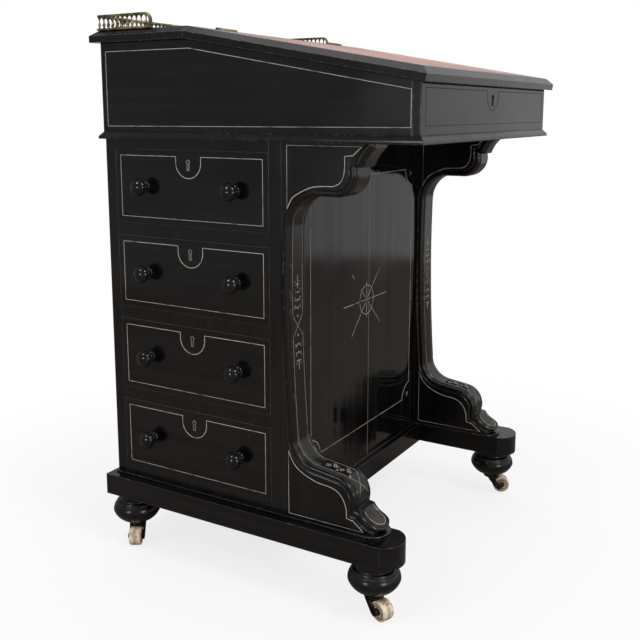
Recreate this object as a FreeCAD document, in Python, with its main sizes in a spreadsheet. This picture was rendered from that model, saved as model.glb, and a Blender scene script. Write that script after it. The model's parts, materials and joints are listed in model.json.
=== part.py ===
# Davenport desk: a sloping writing box on a pedestal of drawers, with two scrolled
# bracket legs, a plinth with forward arms, bun feet, castors and a brass gallery.
# Millimetres, +Z up, origin on the floor under the middle of the desk.
# The writer sits at -Y, and the drawers open towards -X.
import FreeCAD, Part
import math
import os
import types

import Sketcher

doc = FreeCAD.newDocument("davenport_desk")

driving = {
    # writing box
    "boxWidth": 518.0,
    "boxDepth": 537.0,
    "backRise": 134.0,  # height of the side boards under the flat top
    "frontRise": 69.0,  # height of the front board's outer face
    "flatDepth": 170.0,  # from the back of the box to the ridge
    "sideWall": 12.0,
    "frontWall": 12.0,
    "backWall": 10.0,
    "bottomBoard": 11.0,
    "bottomLip": 6.0,
    "bottomEdge": 4.0,  # upright edge under the splay of the bottom board
    "ridgeRailDepth": 34.0,
    "ridgeRailHeight": 24.0,
    # flat top and lid
    "topThick": 18.0,
    "topOverhang": 12.0,
    "fascia": 10.0,  # square edge below the bevel
    "bevelWidth": 11.0,
    "lidSeat": 0.3,  # gap between the closed lid and the box
    "ridgeGap": 0.6,  # gap between the lid and the flat top
    "leatherMargin": 34.0,
    "leatherThick": 1.2,
    "leatherGap": 0.3,
    # butt hinges
    "hingeLength": 50.0,
    "hingeSpread": 330.0,  # between the middles of the two hinges
    "knuckleRadius": 2.8,
    "pinRadius": 1.2,
    "pinFit": 0.05,
    "leafThick": 1.5,
    "leafHeight": 11.0,
    "hingeGap": 0.3,
    # brass gallery
    "galleryInset": 12.0,  # from the edge of the flat top to the line of spindles
    "galleryReach": 103.0,  # length of each side of the gallery
    "stripWidth": 7.0,
    "stripHeight": 3.0,
    "spindleHeight": 16.5,
    "spindlePitch": 10.3,
    "spindleRadius": 1.9,
    "spindleNeck": 0.9,
    "railWidth": 5.0,
    "railHeight": 3.6,
    # pedestal
    "pedestalInset": 3.5,  # from each side of the box to the pedestal's side
    "pedestalDepth": 326.0,
    "pedestalHeight": 546.0,
    "frameThick": 18.0,  # drawer side frame and dummy side
    "kneeWall": 12.0,
    "rearWall": 10.0,
    "innerBoard": 12.0,  # top and bottom boards inside the pedestal
    "kneeStile": 21.0,
    "rearStile": 19.0,
    "topRail": 14.0,
    "footRail": 14.0,
    "midRail": 19.0,
    "railDepth": 40.0,
    "runnerThick": 6.0,
    "runnerTread": 15.0,  # how far a runner reaches in under the drawer side
    "guideHeight": 12.0,
    # drawers
    "drawerGap": 0.5,
    "runnerGap": 0.3,
    "drawerFront": 16.0,
    "drawerSide": 9.0,
    "drawerBack": 8.0,
    "drawerBottom": 5.0,
    "bottomLift": 6.0,  # from the runner to the drawer bottom
    "sideDrop": 14.0,  # drawer sides stand this much lower than the opening
    "drawerStop": 0.5,
    "dummyDepth": 4.0,
    # turned knobs
    "knobSpread": 168.0,
    "knobRadius": 13.5,
    "knobReach": 26.0,
    "knobBelly": 17.0,  # widest ring of the head, from the front
    "knobNeck": 5.5,
    "knobNeckEnd": 9.0,
    "knobCollar": 10.0,
    "knobCollarThick": 4.0,
    "knobTenon": 4.5,
    "knobFit": 0.05,
    # locks
    "keyDrop": 17.5,  # from the top of a front to its keyhole
    "keyRadius": 2.2,
    "keySlot": 2.2,
    "keyLength": 11.5,
    "insertWall": 1.3,
    "insertProud": 0.6,
    "insertDepth": 3.0,
    "lockWidth": 44.0,
    "lockHeight": 34.0,
    "lockDepth": 10.0,
    "boltWidth": 16.0,
    "boltThick": 4.0,
    "boltLength": 22.0,
    "boltGap": 0.4,
    "boltThrow": 6.0,
    "strikeLength": 46.0,
    "strikeWidth": 15.0,
    "strikeThick": 1.4,
    "strikeSlack": 1.2,
    "strikeDepth": 9.0,
    # scrolled edge of a bracket leg: reach in front of the knee face, depth below the
    # top of the leg in the upper half, and height above its foot in the lower half
    "legThick": 50.0,
    "legBand": 32.0,  # raised middle band along the scrolled edge
    "bandRise": 3.5,
    "earReach": 142.0,
    "earDepth": 6.0,
    "earCove": 55.0,
    "earStepReach": 124.0,
    "earStepDepth": 31.5,
    "upperLobeReach": 116.0,
    "upperLobeTop": 33.2,
    "upperLobe": 33.0,
    "upperLobeEnd": 87.0,
    "upperLobeDepth": 73.0,
    "upperCoveStart": 47.0,
    "upperCove": 48.7,
    "shankReach": 11.0,
    "shankTop": 120.4,
    "shankCurve": 2900.0,
    "ankleReach": 18.2,
    "ankleHeight": 124.7,
    "lowerCove": 39.3,
    "lowerCoveEnd": 48.0,
    "lowerCoveHeight": 84.0,
    "lowerLobeStart": 89.0,
    "lowerLobeHeight": 78.4,
    "lowerLobe": 35.5,
    "lowerLobeReach": 120.0,
    "lowerLobeFoot": 34.3,
    "toeStepReach": 128.0,
    "toeStepHeight": 32.0,
    "toeCove": 10.0,
    "toeCoveReach": 137.0,
    "toeCoveHeight": 20.0,
    "toeStart": 148.3,
    "toeHeight": 18.0,
    "toeRound": 11.0,
    "toeReach": 158.3,
    "toeFoot": 7.0,
    # plinth
    "filletBoard": 3.0,
    "filletProud": 3.0,
    "plinthHeight": 34.0,
    "plinthProud": 17.5,
    "armWidth": 64.0,
    "armShort": 44.5,  # the arm's corners stand this far behind the box front
    "armBow": 22.0,
    "frontRailProud": 11.0,
    "plinthRail": 60.0,
    # bun feet
    "footInset": 29.4,
    "frontFootInset": 21.6,
    "bunRadius": 38.5,
    "bunHeight": 48.0,
    "bunBelly": 20.0,  # height of the widest ring
    "bunWaist": 36.5,  # height where the neck starts
    "bunNeck": 29.0,
    "bunLip": 2.0,
    "bunBase": 16.0,
    "bunLower": 30.0,
    "bunUpper": 20.8,
    # castors
    "castorHeight": 37.0,
    "plateThick": 3.0,
    "plateRadius": 14.5,
    "stemRadius": 4.0,
    "stemFit": 0.06,
    "stemHead": 6.0,
    "stemHeadThick": 1.4,
    "stemLength": 17.0,
    "crownThick": 3.0,
    "crownRadius": 14.0,
    "castorGap": 0.3,
    "wheelRadius": 15.0,
    "wheelWidth": 19.0,
    "wheelRound": 4.0,
    "wheelTrail": 18.0,
    "wheelGap": 0.5,
    "hornThick": 3.2,
    "hornHeel": 11.0,  # how far the arms start behind the stem
    "hornToe": 12.0,
    "hornEye": 7.0,
    "axleRadius": 2.5,
    "axleFit": 0.06,
}

# directions that the four castors trail in, in degrees from +X
castorHeadings = {
    "front_left": 248.0,
    "front_right": 300.5,
    "rear_left": 210.5,
    "rear_right": 70.0,
}

drawerCount = 4

# rings of a gallery spindle from its foot up: share of its height, and whether it swells there
spindleRings = [
    (0.0, True),
    (0.12, False),
    (0.3, True),
    (0.5, False),
    (0.7, True),
    (0.88, False),
    (1.0, True),
]

sheet = doc.addObject("Spreadsheet::Sheet", "dims")
for row, (word, amount) in enumerate(driving.items(), start=1):
    sheet.set("A%d" % row, word)
    sheet.set("B%d" % row, str(amount))
    sheet.setAlias("B%d" % row, word)
doc.recompute()


class Size:
    """A length as a number, with the sheet expression that it comes from."""

    def __init__(self, number, text):
        self.number = number
        self.text = text

    def __add__(self, other):
        other = asSize(other)
        return Size(self.number + other.number, "(%s + %s)" % (self.text, other.text))

    def __radd__(self, other):
        return asSize(other) + self

    def __sub__(self, other):
        other = asSize(other)
        return Size(self.number - other.number, "(%s - %s)" % (self.text, other.text))

    def __rsub__(self, other):
        return asSize(other) - self

    def __mul__(self, other):
        other = asSize(other)
        return Size(self.number * other.number, "(%s * %s)" % (self.text, other.text))

    def __rmul__(self, other):
        return asSize(other) * self

    def __truediv__(self, other):
        other = asSize(other)
        return Size(self.number / other.number, "(%s / %s)" % (self.text, other.text))

    def __rtruediv__(self, other):
        return asSize(other) / self

    def __neg__(self):
        return Size(-self.number, "(-1 * %s)" % self.text)


def asSize(amount):
    if isinstance(amount, Size):
        return amount
    return Size(float(amount), "(%.6f)" % amount)


def root(amount):
    return Size(math.sqrt(amount.number), "sqrt(%s)" % amount.text)


d = types.SimpleNamespace(**{word: Size(amount, "dims." + word) for word, amount in driving.items()})
nodes = {}


# ---- places that several pieces share ----

halfBox = d.boxWidth / 2
boxBack = d.boxDepth / 2
boxFront = -boxBack
ridge = boxBack - d.flatDepth
halfTop = halfBox + d.topOverhang
pedestalWidth = d.boxWidth - 2 * d.pedestalInset
halfPedestal = pedestalWidth / 2
kneeFace = boxBack - d.pedestalDepth

plinthBase = d.castorHeight + d.bunHeight
plinthTop = plinthBase + d.plinthHeight
pedestalBase = plinthTop + d.filletBoard
pedestalTop = pedestalBase + d.pedestalHeight
boxBase = pedestalTop + d.bottomBoard
flatBase = boxBase + d.backRise
flatTop = flatBase + d.topThick

slope = (d.backRise - d.frontRise) / (d.boxDepth - d.flatDepth)
slopeCos = 1 / root(1 + slope * slope)
slopeSin = slope * slopeCos
slopeAngle = Size(math.degrees(math.atan(slope.number)), "atan(%s)" % slope.text)


# ---- building helpers ----

def bind(thing, name, amount):
    thing.setExpression(name, asSize(amount).text)


def place(thing, x, y, z, turn=0, axis=(0, 0, 1)):
    """Move a piece, turned by an angle about one of its axes."""
    spin = FreeCAD.Rotation(FreeCAD.Vector(*axis), 1.0)
    thing.Placement = FreeCAD.Placement(FreeCAD.Vector(0, 0, 0), spin)
    bind(thing, ".Placement.Base.x", x)
    bind(thing, ".Placement.Base.y", y)
    bind(thing, ".Placement.Base.z", z)
    bind(thing, ".Placement.Rotation.Angle", turn)


def newBody(label):
    body = doc.addObject("PartDesign::Body", "body")
    body.Label = label
    return body


def addBox(body, low, high, cut=False, turn=0):
    """A box between two corners, turned about X at its low corner if turn is given."""
    kind = "PartDesign::SubtractiveBox" if cut else "PartDesign::AdditiveBox"
    solid = body.newObject(kind, "box")
    bind(solid, "Length", high[0] - low[0])
    bind(solid, "Width", high[1] - low[1])
    bind(solid, "Height", high[2] - low[2])
    place(solid, low[0], low[1], low[2], turn, (1, 0, 0))
    return solid


def addSplay(body, low, high, insets):
    """A block whose top is smaller than its base, by insets at left, right, front and back."""
    left, right, front, back = insets
    solid = body.newObject("PartDesign::AdditiveWedge", "splay")
    spans = {
        "Xmin": low[0], "Xmax": high[0], "X2min": low[0] + left, "X2max": high[0] - right,
        "Ymin": low[2], "Ymax": high[2],
        "Zmin": -high[1], "Zmax": -low[1], "Z2min": back - high[1], "Z2max": -low[1] - front,
    }
    # the far sides are set first, so that the wedge is never inside out on the way
    for name in ("Xmax", "X2max", "Ymax", "Zmax", "Z2max", "Xmin", "X2min", "Ymin", "Zmin", "Z2min"):
        setattr(solid, name, asSize(spans[name]).number)
        bind(solid, name, spans[name])
    place(solid, 0, 0, 0, 90, (1, 0, 0))
    return solid


def addRod(body, radius, length, start, axis, cut=False):
    """A round rod from a point, along +X, -Y or +Z."""
    kind = "PartDesign::SubtractiveCylinder" if cut else "PartDesign::AdditiveCylinder"
    solid = body.newObject(kind, "rod")
    bind(solid, "Radius", radius)
    bind(solid, "Height", length)
    turns = {"x": (90, (0, 1, 0)), "y": (90, (1, 0, 0)), "z": (0, (0, 0, 1))}
    turn, about = turns[axis]
    place(solid, start[0], start[1], start[2], turn, about)
    return solid


def originPlane(body, role):
    for feature in body.Origin.OriginFeatures:
        if feature.Role == role:
            return feature
    raise ValueError("no plane " + role)


def drawOutline(body, corners, role="XY_Plane", offset=0):
    """A closed outline. A corner is x, y and the radius of the stretch after it:
    0 is straight, a positive radius turns anticlockwise and a negative one clockwise."""
    sketch = body.newObject("Sketcher::SketchObject", "outline")
    sketch.AttachmentSupport = [(originPlane(body, role), "")]
    sketch.MapMode = "FlatFace"
    bind(sketch, ".AttachmentOffset.Base.z", offset)
    places = [FreeCAD.Vector(asSize(corner[0]).number, asSize(corner[1]).number, 0) for corner in corners]
    radii = [asSize(corner[2]) for corner in corners]
    count = len(corners)
    ends = []
    for number, radius in enumerate(radii):
        start = places[number]
        finish = places[(number + 1) % count]
        if radius.number == 0:
            line = sketch.addGeometry(Part.LineSegment(start, finish), False)
            ends.append((line, 1, 2))
            continue
        chord = finish - start
        reach = math.sqrt(max(radius.number ** 2 - chord.Length ** 2 / 4, 0.0))
        side = FreeCAD.Vector(-chord.y, chord.x, 0).normalize() * math.copysign(reach, radius.number)
        centre = (start + finish) * 0.5 + side
        circle = Part.Circle(centre, FreeCAD.Vector(0, 0, 1), abs(radius.number))
        turned = radius.number < 0
        first, last = (finish, start) if turned else (start, finish)
        startAngle = math.atan2(first.y - centre.y, first.x - centre.x)
        endAngle = math.atan2(last.y - centre.y, last.x - centre.x)
        arc = sketch.addGeometry(Part.ArcOfCircle(circle, startAngle, endAngle), False)
        ends.append((arc, 2, 1) if turned else (arc, 1, 2))
    for number in range(count):
        curve, _, finish = ends[number]
        following, start, _ = ends[(number + 1) % count]
        sketch.addConstraint(Sketcher.Constraint("Coincident", curve, finish, following, start))
    for number, corner in enumerate(corners):
        curve, start, _ = ends[number]
        tied = [("DistanceX", asSize(corner[0])), ("DistanceY", asSize(corner[1]))]
        for kind, amount in tied:
            where = sketch.addConstraint(Sketcher.Constraint(kind, -1, 1, curve, start, amount.number))
            sketch.setExpression("Constraints[%d]" % where, amount.text)
        if radii[number].number != 0:
            amount = radii[number] if radii[number].number > 0 else -radii[number]
            where = sketch.addConstraint(Sketcher.Constraint("Radius", curve, amount.number))
            sketch.setExpression("Constraints[%d]" % where, amount.text)
    return sketch


def padOutline(body, corners, length, role="XY_Plane", offset=0):
    """A prism of the outline, offset along its own direction: +Z, -Y for XZ, +X for YZ."""
    pad = body.newObject("PartDesign::Pad", "prism")
    pad.Profile = drawOutline(body, corners, role, offset)
    bind(pad, "Length", length)
    return pad


def cutOutline(body, corners, role):
    """A hole of the outline's shape right through the body."""
    pocket = body.newObject("PartDesign::Pocket", "hole")
    pocket.Profile = drawOutline(body, corners, role)
    pocket.Type = "ThroughAll"
    pocket.Midplane = True
    return pocket


def turnOutline(body, corners):
    """A turned solid: the outline is radius and height, spun about the body's Z."""
    sketch = drawOutline(body, corners, "XZ_Plane")
    turned = body.newObject("PartDesign::Revolution", "turned")
    turned.Profile = sketch
    turned.ReferenceAxis = (sketch, ["V_Axis"])
    turned.Angle = 360.0
    return turned


def board(label, low, high):
    body = newBody(label)
    addBox(body, low, high)
    return body


def group(label, pieces):
    whole = doc.addObject("Part::Compound", "group")
    whole.Label = label
    whole.Links = pieces
    return keep(whole)


def keep(thing):
    nodes[thing.Label] = thing
    return thing


# ---- bun feet and castors ----

footX = halfPedestal + d.plinthProud - d.footInset
plinthBack = boxBack + d.topOverhang
armCorner = boxFront + d.armShort
frontFootY = armCorner + d.frontFootInset
backFootY = plinthBack - d.bunRadius
footPlaces = {
    "front_left": (-footX, frontFootY),
    "front_right": (footX, frontFootY),
    "rear_left": (-footX, backFootY),
    "rear_right": (footX, backFootY),
}

plateBase = d.castorHeight - d.plateThick
crownTop = plateBase - d.castorGap
crownBase = crownTop - d.crownThick
headTop = crownBase - d.castorGap
headBase = headTop - d.stemHeadThick
stemTop = d.castorHeight + d.stemLength
armGap = d.wheelWidth / 2 + d.wheelGap


def makeBun(corner):
    """A flattened bun under a short neck, bored for the castor's stem."""
    body = newBody("bun_" + corner)
    bore = d.stemRadius + d.stemFit
    socketTop = d.stemLength + d.castorGap
    turnOutline(body, [
        (bore, 0, 0),
        (d.bunBase, 0, d.bunLower),
        (d.bunRadius, d.bunBelly, d.bunUpper),
        (d.bunNeck + d.bunLip, d.bunWaist, 0),
        (d.bunNeck, d.bunWaist, 0),
        (d.bunNeck, d.bunHeight, 0),
        (0, d.bunHeight, 0),
        (0, socketTop, 0),
        (bore, socketTop, 0),
    ])
    place(body, *footPlaces[corner], d.castorHeight)
    return body


def makeCastorPlate(corner):
    """The plate under a bun, with the stem that the horn turns on and its riveted head."""
    body = newBody("plate_" + corner)
    turnOutline(body, [
        (0, headBase, 0),
        (d.stemHead, headBase, 0),
        (d.stemHead, headTop, 0),
        (d.stemRadius, headTop, 0),
        (d.stemRadius, plateBase, 0),
        (d.plateRadius, plateBase, 0),
        (d.plateRadius, d.castorHeight, 0),
        (d.stemRadius, d.castorHeight, 0),
        (d.stemRadius, stemTop, 0),
        (0, stemTop, 0),
    ])
    place(body, *footPlaces[corner], 0)
    return body


def makeHorn(corner):
    """A round crown with two raked arms and the riveted axle between them."""
    body = newBody("castor_horn_" + corner)
    addRod(body, d.crownRadius, d.crownThick, (0, 0, crownBase), "z")
    arm = [
        (-d.hornHeel, crownBase, 0),
        (d.wheelTrail - d.hornEye, d.wheelRadius, d.hornEye),
        (d.wheelTrail, d.wheelRadius - d.hornEye, d.hornEye),
        (d.wheelTrail + d.hornEye, d.wheelRadius, 0),
        (d.hornToe, crownTop, 0),
        (-d.hornHeel, crownTop, 0),
    ]
    armEnd = armGap + d.hornThick
    for offset in (armGap, -armEnd):
        padOutline(body, arm, d.hornThick, "XZ_Plane", offset)
    addRod(body, d.axleRadius, 2 * armEnd, (d.wheelTrail, armEnd, d.wheelRadius), "y")
    boreStart = (0, 0, crownBase - d.crownThick)
    addRod(body, d.stemRadius + d.stemFit, 3 * d.crownThick, boreStart, "z", cut=True)
    place(body, *footPlaces[corner], 0, castorHeadings[corner])
    return body


def makeWheel(corner):
    """A porcelain wheel with rounded edges, bored for the axle, standing on the floor."""
    body = newBody("castor_wheel_" + corner)
    half = d.wheelWidth / 2
    bore = d.axleRadius + d.axleFit
    turnOutline(body, [
        (bore, -half, 0),
        (d.wheelRadius - d.wheelRound, -half, d.wheelRound),
        (d.wheelRadius, d.wheelRound - half, 0),
        (d.wheelRadius, half - d.wheelRound, d.wheelRound),
        (d.wheelRadius - d.wheelRound, half, 0),
        (bore, half, 0),
    ])
    x, y = footPlaces[corner]
    heading = castorHeadings[corner]
    upright = FreeCAD.Rotation(FreeCAD.Vector(1, 0, 0), 90)
    body.Placement = FreeCAD.Placement(
        FreeCAD.Vector(0, 0, 0), FreeCAD.Rotation(FreeCAD.Vector(0, 0, 1), heading) * upright)
    bind(body, ".Placement.Base.x", x + d.wheelTrail * math.cos(math.radians(heading)))
    bind(body, ".Placement.Base.y", y + d.wheelTrail * math.sin(math.radians(heading)))
    bind(body, ".Placement.Base.z", d.wheelRadius)
    return body


group("bun_feet", [makeBun(corner) for corner in footPlaces])
group("castor_plates", [makeCastorPlate(corner) for corner in footPlaces])
for corner in footPlaces:
    keep(makeHorn(corner))
    keep(makeWheel(corner))


# ---- plinth ----

halfPlinth = halfPedestal + d.plinthProud
innerArm = halfPlinth - d.armWidth
bowRadius = (d.armWidth * d.armWidth / 4 + d.armBow * d.armBow) / (2 * d.armBow)


def makeArm(label, inner):
    """A plinth side that runs forward past the pedestal and ends in a bow."""
    body = newBody(label)
    padOutline(body, [
        (inner, armCorner, bowRadius),
        (inner + d.armWidth, armCorner, 0),
        (inner + d.armWidth, plinthBack, 0),
        (inner, plinthBack, 0),
    ], d.plinthHeight)
    place(body, 0, 0, plinthBase)
    return body


group("plinth_arms", [makeArm("left_arm", -halfPlinth), makeArm("right_arm", innerArm)])
railFront = kneeFace - d.frontRailProud
rearRailFront = plinthBack - d.plinthRail
group("plinth_rails", [
    board("front_rail", (-innerArm, railFront, plinthBase),
          (innerArm, railFront + d.plinthRail, plinthTop)),
    board("rear_rail", (-innerArm, rearRailFront, plinthBase), (innerArm, plinthBack, plinthTop)),
])

# a thin fillet under the pedestal, with a tongue under each bracket leg
filletHalf = halfPedestal + d.filletProud
tongueFront = kneeFace - d.toeReach - d.filletProud
tongueInner = halfPedestal - d.legThick - d.filletProud
baseFillet = newBody("base_fillet")
addBox(baseFillet, (-filletHalf, kneeFace - d.filletProud, plinthTop),
       (filletHalf, boxBack + d.filletProud, pedestalBase))
for left, right in ((-filletHalf, -tongueInner), (tongueInner, filletHalf)):
    addBox(baseFillet, (left, tongueFront, plinthTop), (right, kneeFace, pedestalBase))
keep(baseFillet)


# ---- bracket legs ----

def legEdge(inset):
    """The leg's side view, with its scrolled edge set back by inset: Y from the knee
    face and Z from the foot."""
    top = d.pedestalHeight
    return [
        (0, 0, 0),
        (0, top, 0),
        (inset - d.earReach, top, 0),
        (inset - d.earReach, top - d.earDepth + inset, -d.earCove - inset),
        (inset - d.earStepReach, top - d.earStepDepth + inset, 0),
        (inset - d.upperLobeReach, top - d.upperLobeTop, d.upperLobe - inset),
        (-d.upperLobeEnd, top - d.upperLobeDepth + inset, 0),
        (-d.upperCoveStart, top - d.upperLobeDepth + inset, -d.upperCove - inset),
        (inset - d.shankReach, top - d.shankTop, -d.shankCurve),
        (inset - d.ankleReach, d.ankleHeight, -d.lowerCove - inset),
        (-d.lowerCoveEnd, d.lowerCoveHeight - inset, 0),
        (-d.lowerLobeStart, d.lowerLobeHeight - inset, d.lowerLobe - inset),
        (inset - d.lowerLobeReach, d.lowerLobeFoot, 0),
        (inset - d.toeStepReach, d.toeStepHeight - inset, -d.toeCove - inset),
        (-d.toeCoveReach, d.toeCoveHeight - inset, 0),
        (-d.toeStart, d.toeHeight - inset, d.toeRound - inset),
        (inset - d.toeReach, d.toeFoot, 0),
        (inset - d.toeReach, 0, 0),
    ]


def makeLeg(label, left):
    """A bracket leg: a thick board with a scrolled front edge and a raised band along it."""
    body = newBody(label)
    padOutline(body, legEdge(d.bandRise), d.legThick, "YZ_Plane")
    padOutline(body, legEdge(0), d.legBand, "YZ_Plane", (d.legThick - d.legBand) / 2)
    place(body, left, kneeFace, pedestalBase)
    return keep(body)


makeLeg("left_bracket_leg", -halfPedestal)
makeLeg("right_bracket_leg", halfPedestal - d.legThick)


# ---- pedestal ----

panelHalf = halfPedestal - d.frameThick
panelBack = kneeFace + d.kneeWall
backPanelFront = boxBack - d.rearWall
openingLow = kneeFace + d.kneeStile
openingHigh = boxBack - d.rearStile
openingMiddle = (openingLow + openingHigh) / 2
openingHalf = (openingHigh - openingLow) / 2
openingHeight = (d.pedestalHeight - d.topRail - d.footRail - (drawerCount - 1) * d.midRail) / drawerCount
drawerTop = openingHeight - d.drawerGap
railBack = d.railDepth - halfPedestal
drawerFloors = [
    pedestalBase + d.footRail + (drawerCount - 1 - number) * (openingHeight + d.midRail)
    for number in range(drawerCount)
]

keep(board("knee_panel", (-panelHalf, kneeFace, pedestalBase), (panelHalf, panelBack, pedestalTop)))
keep(board("back_panel", (-panelHalf, backPanelFront, pedestalBase), (panelHalf, boxBack, pedestalTop)))
group("pedestal_boards", [
    board("pedestal_floor", (railBack, panelBack, pedestalBase),
          (panelHalf, backPanelFront, pedestalBase + d.innerBoard)),
    board("pedestal_ceiling", (railBack, panelBack, pedestalTop - d.innerBoard),
          (panelHalf, backPanelFront, pedestalTop)),
])

# middle of the lock bolt, behind the outer face of a drawer front
boltLine = d.drawerFront + d.lockDepth / 2
mortiseWidth = d.boltWidth + 2 * d.boltGap
mortiseThick = d.boltThick + 2 * d.boltGap
mortiseDepth = d.boltThrow + d.boltGap


def makeRail(label, base, height, locked):
    """A drawer rail, with a mortise underneath for the lock bolt of the drawer below it."""
    body = newBody(label)
    addBox(body, (-halfPedestal, openingLow, base), (railBack, openingHigh, base + height))
    if locked:
        middle = boltLine - halfPedestal
        addBox(body, (middle - mortiseThick / 2, openingMiddle - mortiseWidth / 2, base),
               (middle + mortiseThick / 2, openingMiddle + mortiseWidth / 2, base + mortiseDepth), cut=True)
    return body


stileInner = d.frameThick - halfPedestal
frame = [
    board("knee_stile", (-halfPedestal, kneeFace, pedestalBase), (stileInner, openingLow, pedestalTop)),
    board("rear_stile", (-halfPedestal, openingHigh, pedestalBase), (stileInner, boxBack, pedestalTop)),
    makeRail("top_rail", pedestalTop - d.topRail, d.topRail, True),
]
for number, floor in enumerate(drawerFloors[:-1], start=1):
    frame.append(makeRail("middle_rail_%d" % number, floor - d.midRail, d.midRail, True))
frame.append(makeRail("foot_rail", pedestalBase, d.footRail, False))
group("drawer_face_frame", frame)


def makeRunner(label, tread, guide, floor, thick):
    """An L-shaped runner: a tread under the drawer side and a guide beside it, each from
    its low to its high Y."""
    body = newBody(label)
    addBox(body, (railBack, tread[0], floor - thick), (panelHalf, tread[1], floor))
    addBox(body, (railBack, guide[0], floor), (panelHalf, guide[1], floor + d.guideHeight))
    return body


kneeSide = openingLow + d.drawerGap
rearSide = openingHigh - d.drawerGap
kneeTread = (panelBack, kneeSide + d.runnerTread)
kneeGuide = (panelBack, kneeSide - d.runnerGap)
rearTread = (rearSide - d.runnerTread, backPanelFront)
rearGuide = (rearSide + d.runnerGap, backPanelFront)
runners = []
for number, floor in enumerate(drawerFloors, start=1):
    # the lowest pair lies on the pedestal's own floor
    thick = d.footRail - d.innerBoard if number == drawerCount else d.runnerThick
    runners.append(makeRunner("knee_runner_%d" % number, kneeTread, kneeGuide, floor, thick))
    runners.append(makeRunner("rear_runner_%d" % number, rearTread, rearGuide, floor, thick))
group("drawer_runners", runners)


# ---- turned knobs ----

def makeKnob(label, tenon):
    """A turned knob on a tenon, along the body's Z from the face that it sits on."""
    body = newBody(label)
    crown = d.knobReach - d.knobBelly
    dome = (d.knobRadius * d.knobRadius + crown * crown) / (2 * crown)
    turnOutline(body, [
        (0, -tenon, 0),
        (d.knobTenon, -tenon, 0),
        (d.knobTenon, 0, 0),
        (d.knobCollar, 0, 0),
        (d.knobCollar, d.knobCollarThick, 0),
        (d.knobNeck, d.knobCollarThick, 0),
        (d.knobNeck, d.knobNeckEnd, d.knobRadius - d.knobNeck),
        (d.knobRadius, d.knobBelly, dome),
        (0, d.knobReach, 0),
    ])
    return body


def makeKnobs(label, tenon, floor, face, turn):
    """The two knobs of one front; turn is -90 towards -X and 90 towards +X."""
    knobs = []
    for side, name in ((-1, "knee"), (1, "rear")):
        knob = makeKnob("%s_%s" % (label, name), tenon)
        y = openingMiddle + side * d.knobSpread / 2
        place(knob, face, y, floor + openingHeight / 2, turn, (0, 1, 0))
        knobs.append(knob)
    return knobs


def boreKnobs(body, depth):
    """Holes for the tenons of a front's two knobs."""
    for side in (-1, 1):
        start = (-depth, side * d.knobSpread / 2, openingHeight / 2)
        addRod(body, d.knobTenon + d.knobFit, 3 * depth, start, "x", cut=True)


# ---- locks ----

def keyhole(height, wall):
    """Keyhole outline, grown by wall: a round head over a slot."""
    head = d.keyRadius + wall
    half = d.keySlot / 2 + wall
    drop = root(head * head - half * half)
    foot = height - d.keyLength - wall
    return [
        (-half, foot, 0),
        (half, foot, 0),
        (half, height - drop, head),
        (0, height + head, head),
        (-half, height - drop, 0),
    ]


def makeInsert(label, height, depth):
    """A brass keyhole lining, a little proud of the face at X = 0."""
    body = newBody(label)
    outer = keyhole(height, d.insertWall)
    padOutline(body, outer, depth + d.insertProud, "YZ_Plane", -d.insertProud)
    cutOutline(body, keyhole(height, 0), "YZ_Plane")
    return body


def makeLockCase(label, wall, top):
    """A lock case on the back of a front of thickness wall, with a shaft for its bolt."""
    body = newBody(label)
    middle = wall + d.lockDepth / 2
    shaft = d.boltLength + d.boltGap + d.boltGap
    addBox(body, (wall, -d.lockWidth / 2, top - d.lockHeight), (wall + d.lockDepth, d.lockWidth / 2, top))
    addBox(body, (middle - mortiseThick / 2, -mortiseWidth / 2, top - shaft),
           (middle + mortiseThick / 2, mortiseWidth / 2, top), cut=True)
    return body


def makeBolt(label, wall, top):
    """The bolt of a lock, drawn down in its case."""
    body = newBody(label)
    middle = wall + d.lockDepth / 2
    head = top - d.boltGap
    addBox(body, (middle - d.boltThick / 2, -d.boltWidth / 2, head - d.boltLength),
           (middle + d.boltThick / 2, d.boltWidth / 2, head))
    return body


# ---- drawers ----

drawerHalf = openingHalf - d.drawerGap
drawerEnd = pedestalWidth - d.frameThick - d.drawerStop
keyHeight = drawerTop - d.keyDrop


def makeFront(label, thick):
    """A drawer front with holes for its knobs and keyhole, from its outer face at X = 0."""
    body = newBody(label)
    addBox(body, (0, -drawerHalf, d.drawerGap), (thick, drawerHalf, drawerTop))
    boreKnobs(body, thick)
    cutOutline(body, keyhole(keyHeight, d.insertWall), "YZ_Plane")
    return body


def makeTray(label):
    """Sides, back and bottom of a drawer, behind its front."""
    sideTop = openingHeight - d.sideDrop
    inner = drawerHalf - d.drawerSide
    start = d.drawerFront
    back = drawerEnd - d.drawerBack
    base = d.bottomLift
    return [
        board(label + "_knee_side", (start, -drawerHalf, d.runnerGap), (drawerEnd, -inner, sideTop)),
        board(label + "_rear_side", (start, inner, d.runnerGap), (drawerEnd, drawerHalf, sideTop)),
        board(label + "_back", (back, -inner, base + d.drawerBottom), (drawerEnd, inner, sideTop)),
        board(label + "_bottom", (start, -inner, base), (drawerEnd, inner, base + d.drawerBottom)),
    ]


for number, floor in enumerate(drawerFloors, start=1):
    label = "drawer_%d" % number
    pieces = [keep(makeFront(label + "_front", d.drawerFront))]
    tray = makeTray(label)
    group(label + "_box", tray)
    insert = makeInsert(label + "_keyhole", keyHeight, d.insertDepth)
    case = makeLockCase(label + "_case", d.drawerFront, drawerTop)
    group(label + "_lock", [insert, case])
    bolt = keep(makeBolt(label + "_bolt", d.drawerFront, drawerTop))
    for piece in pieces + tray + [insert, case, bolt]:
        place(piece, -halfPedestal, openingMiddle, floor)
    group(label + "_knobs", makeKnobs(label + "_knob", d.drawerFront, floor, -halfPedestal, -90))

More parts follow.
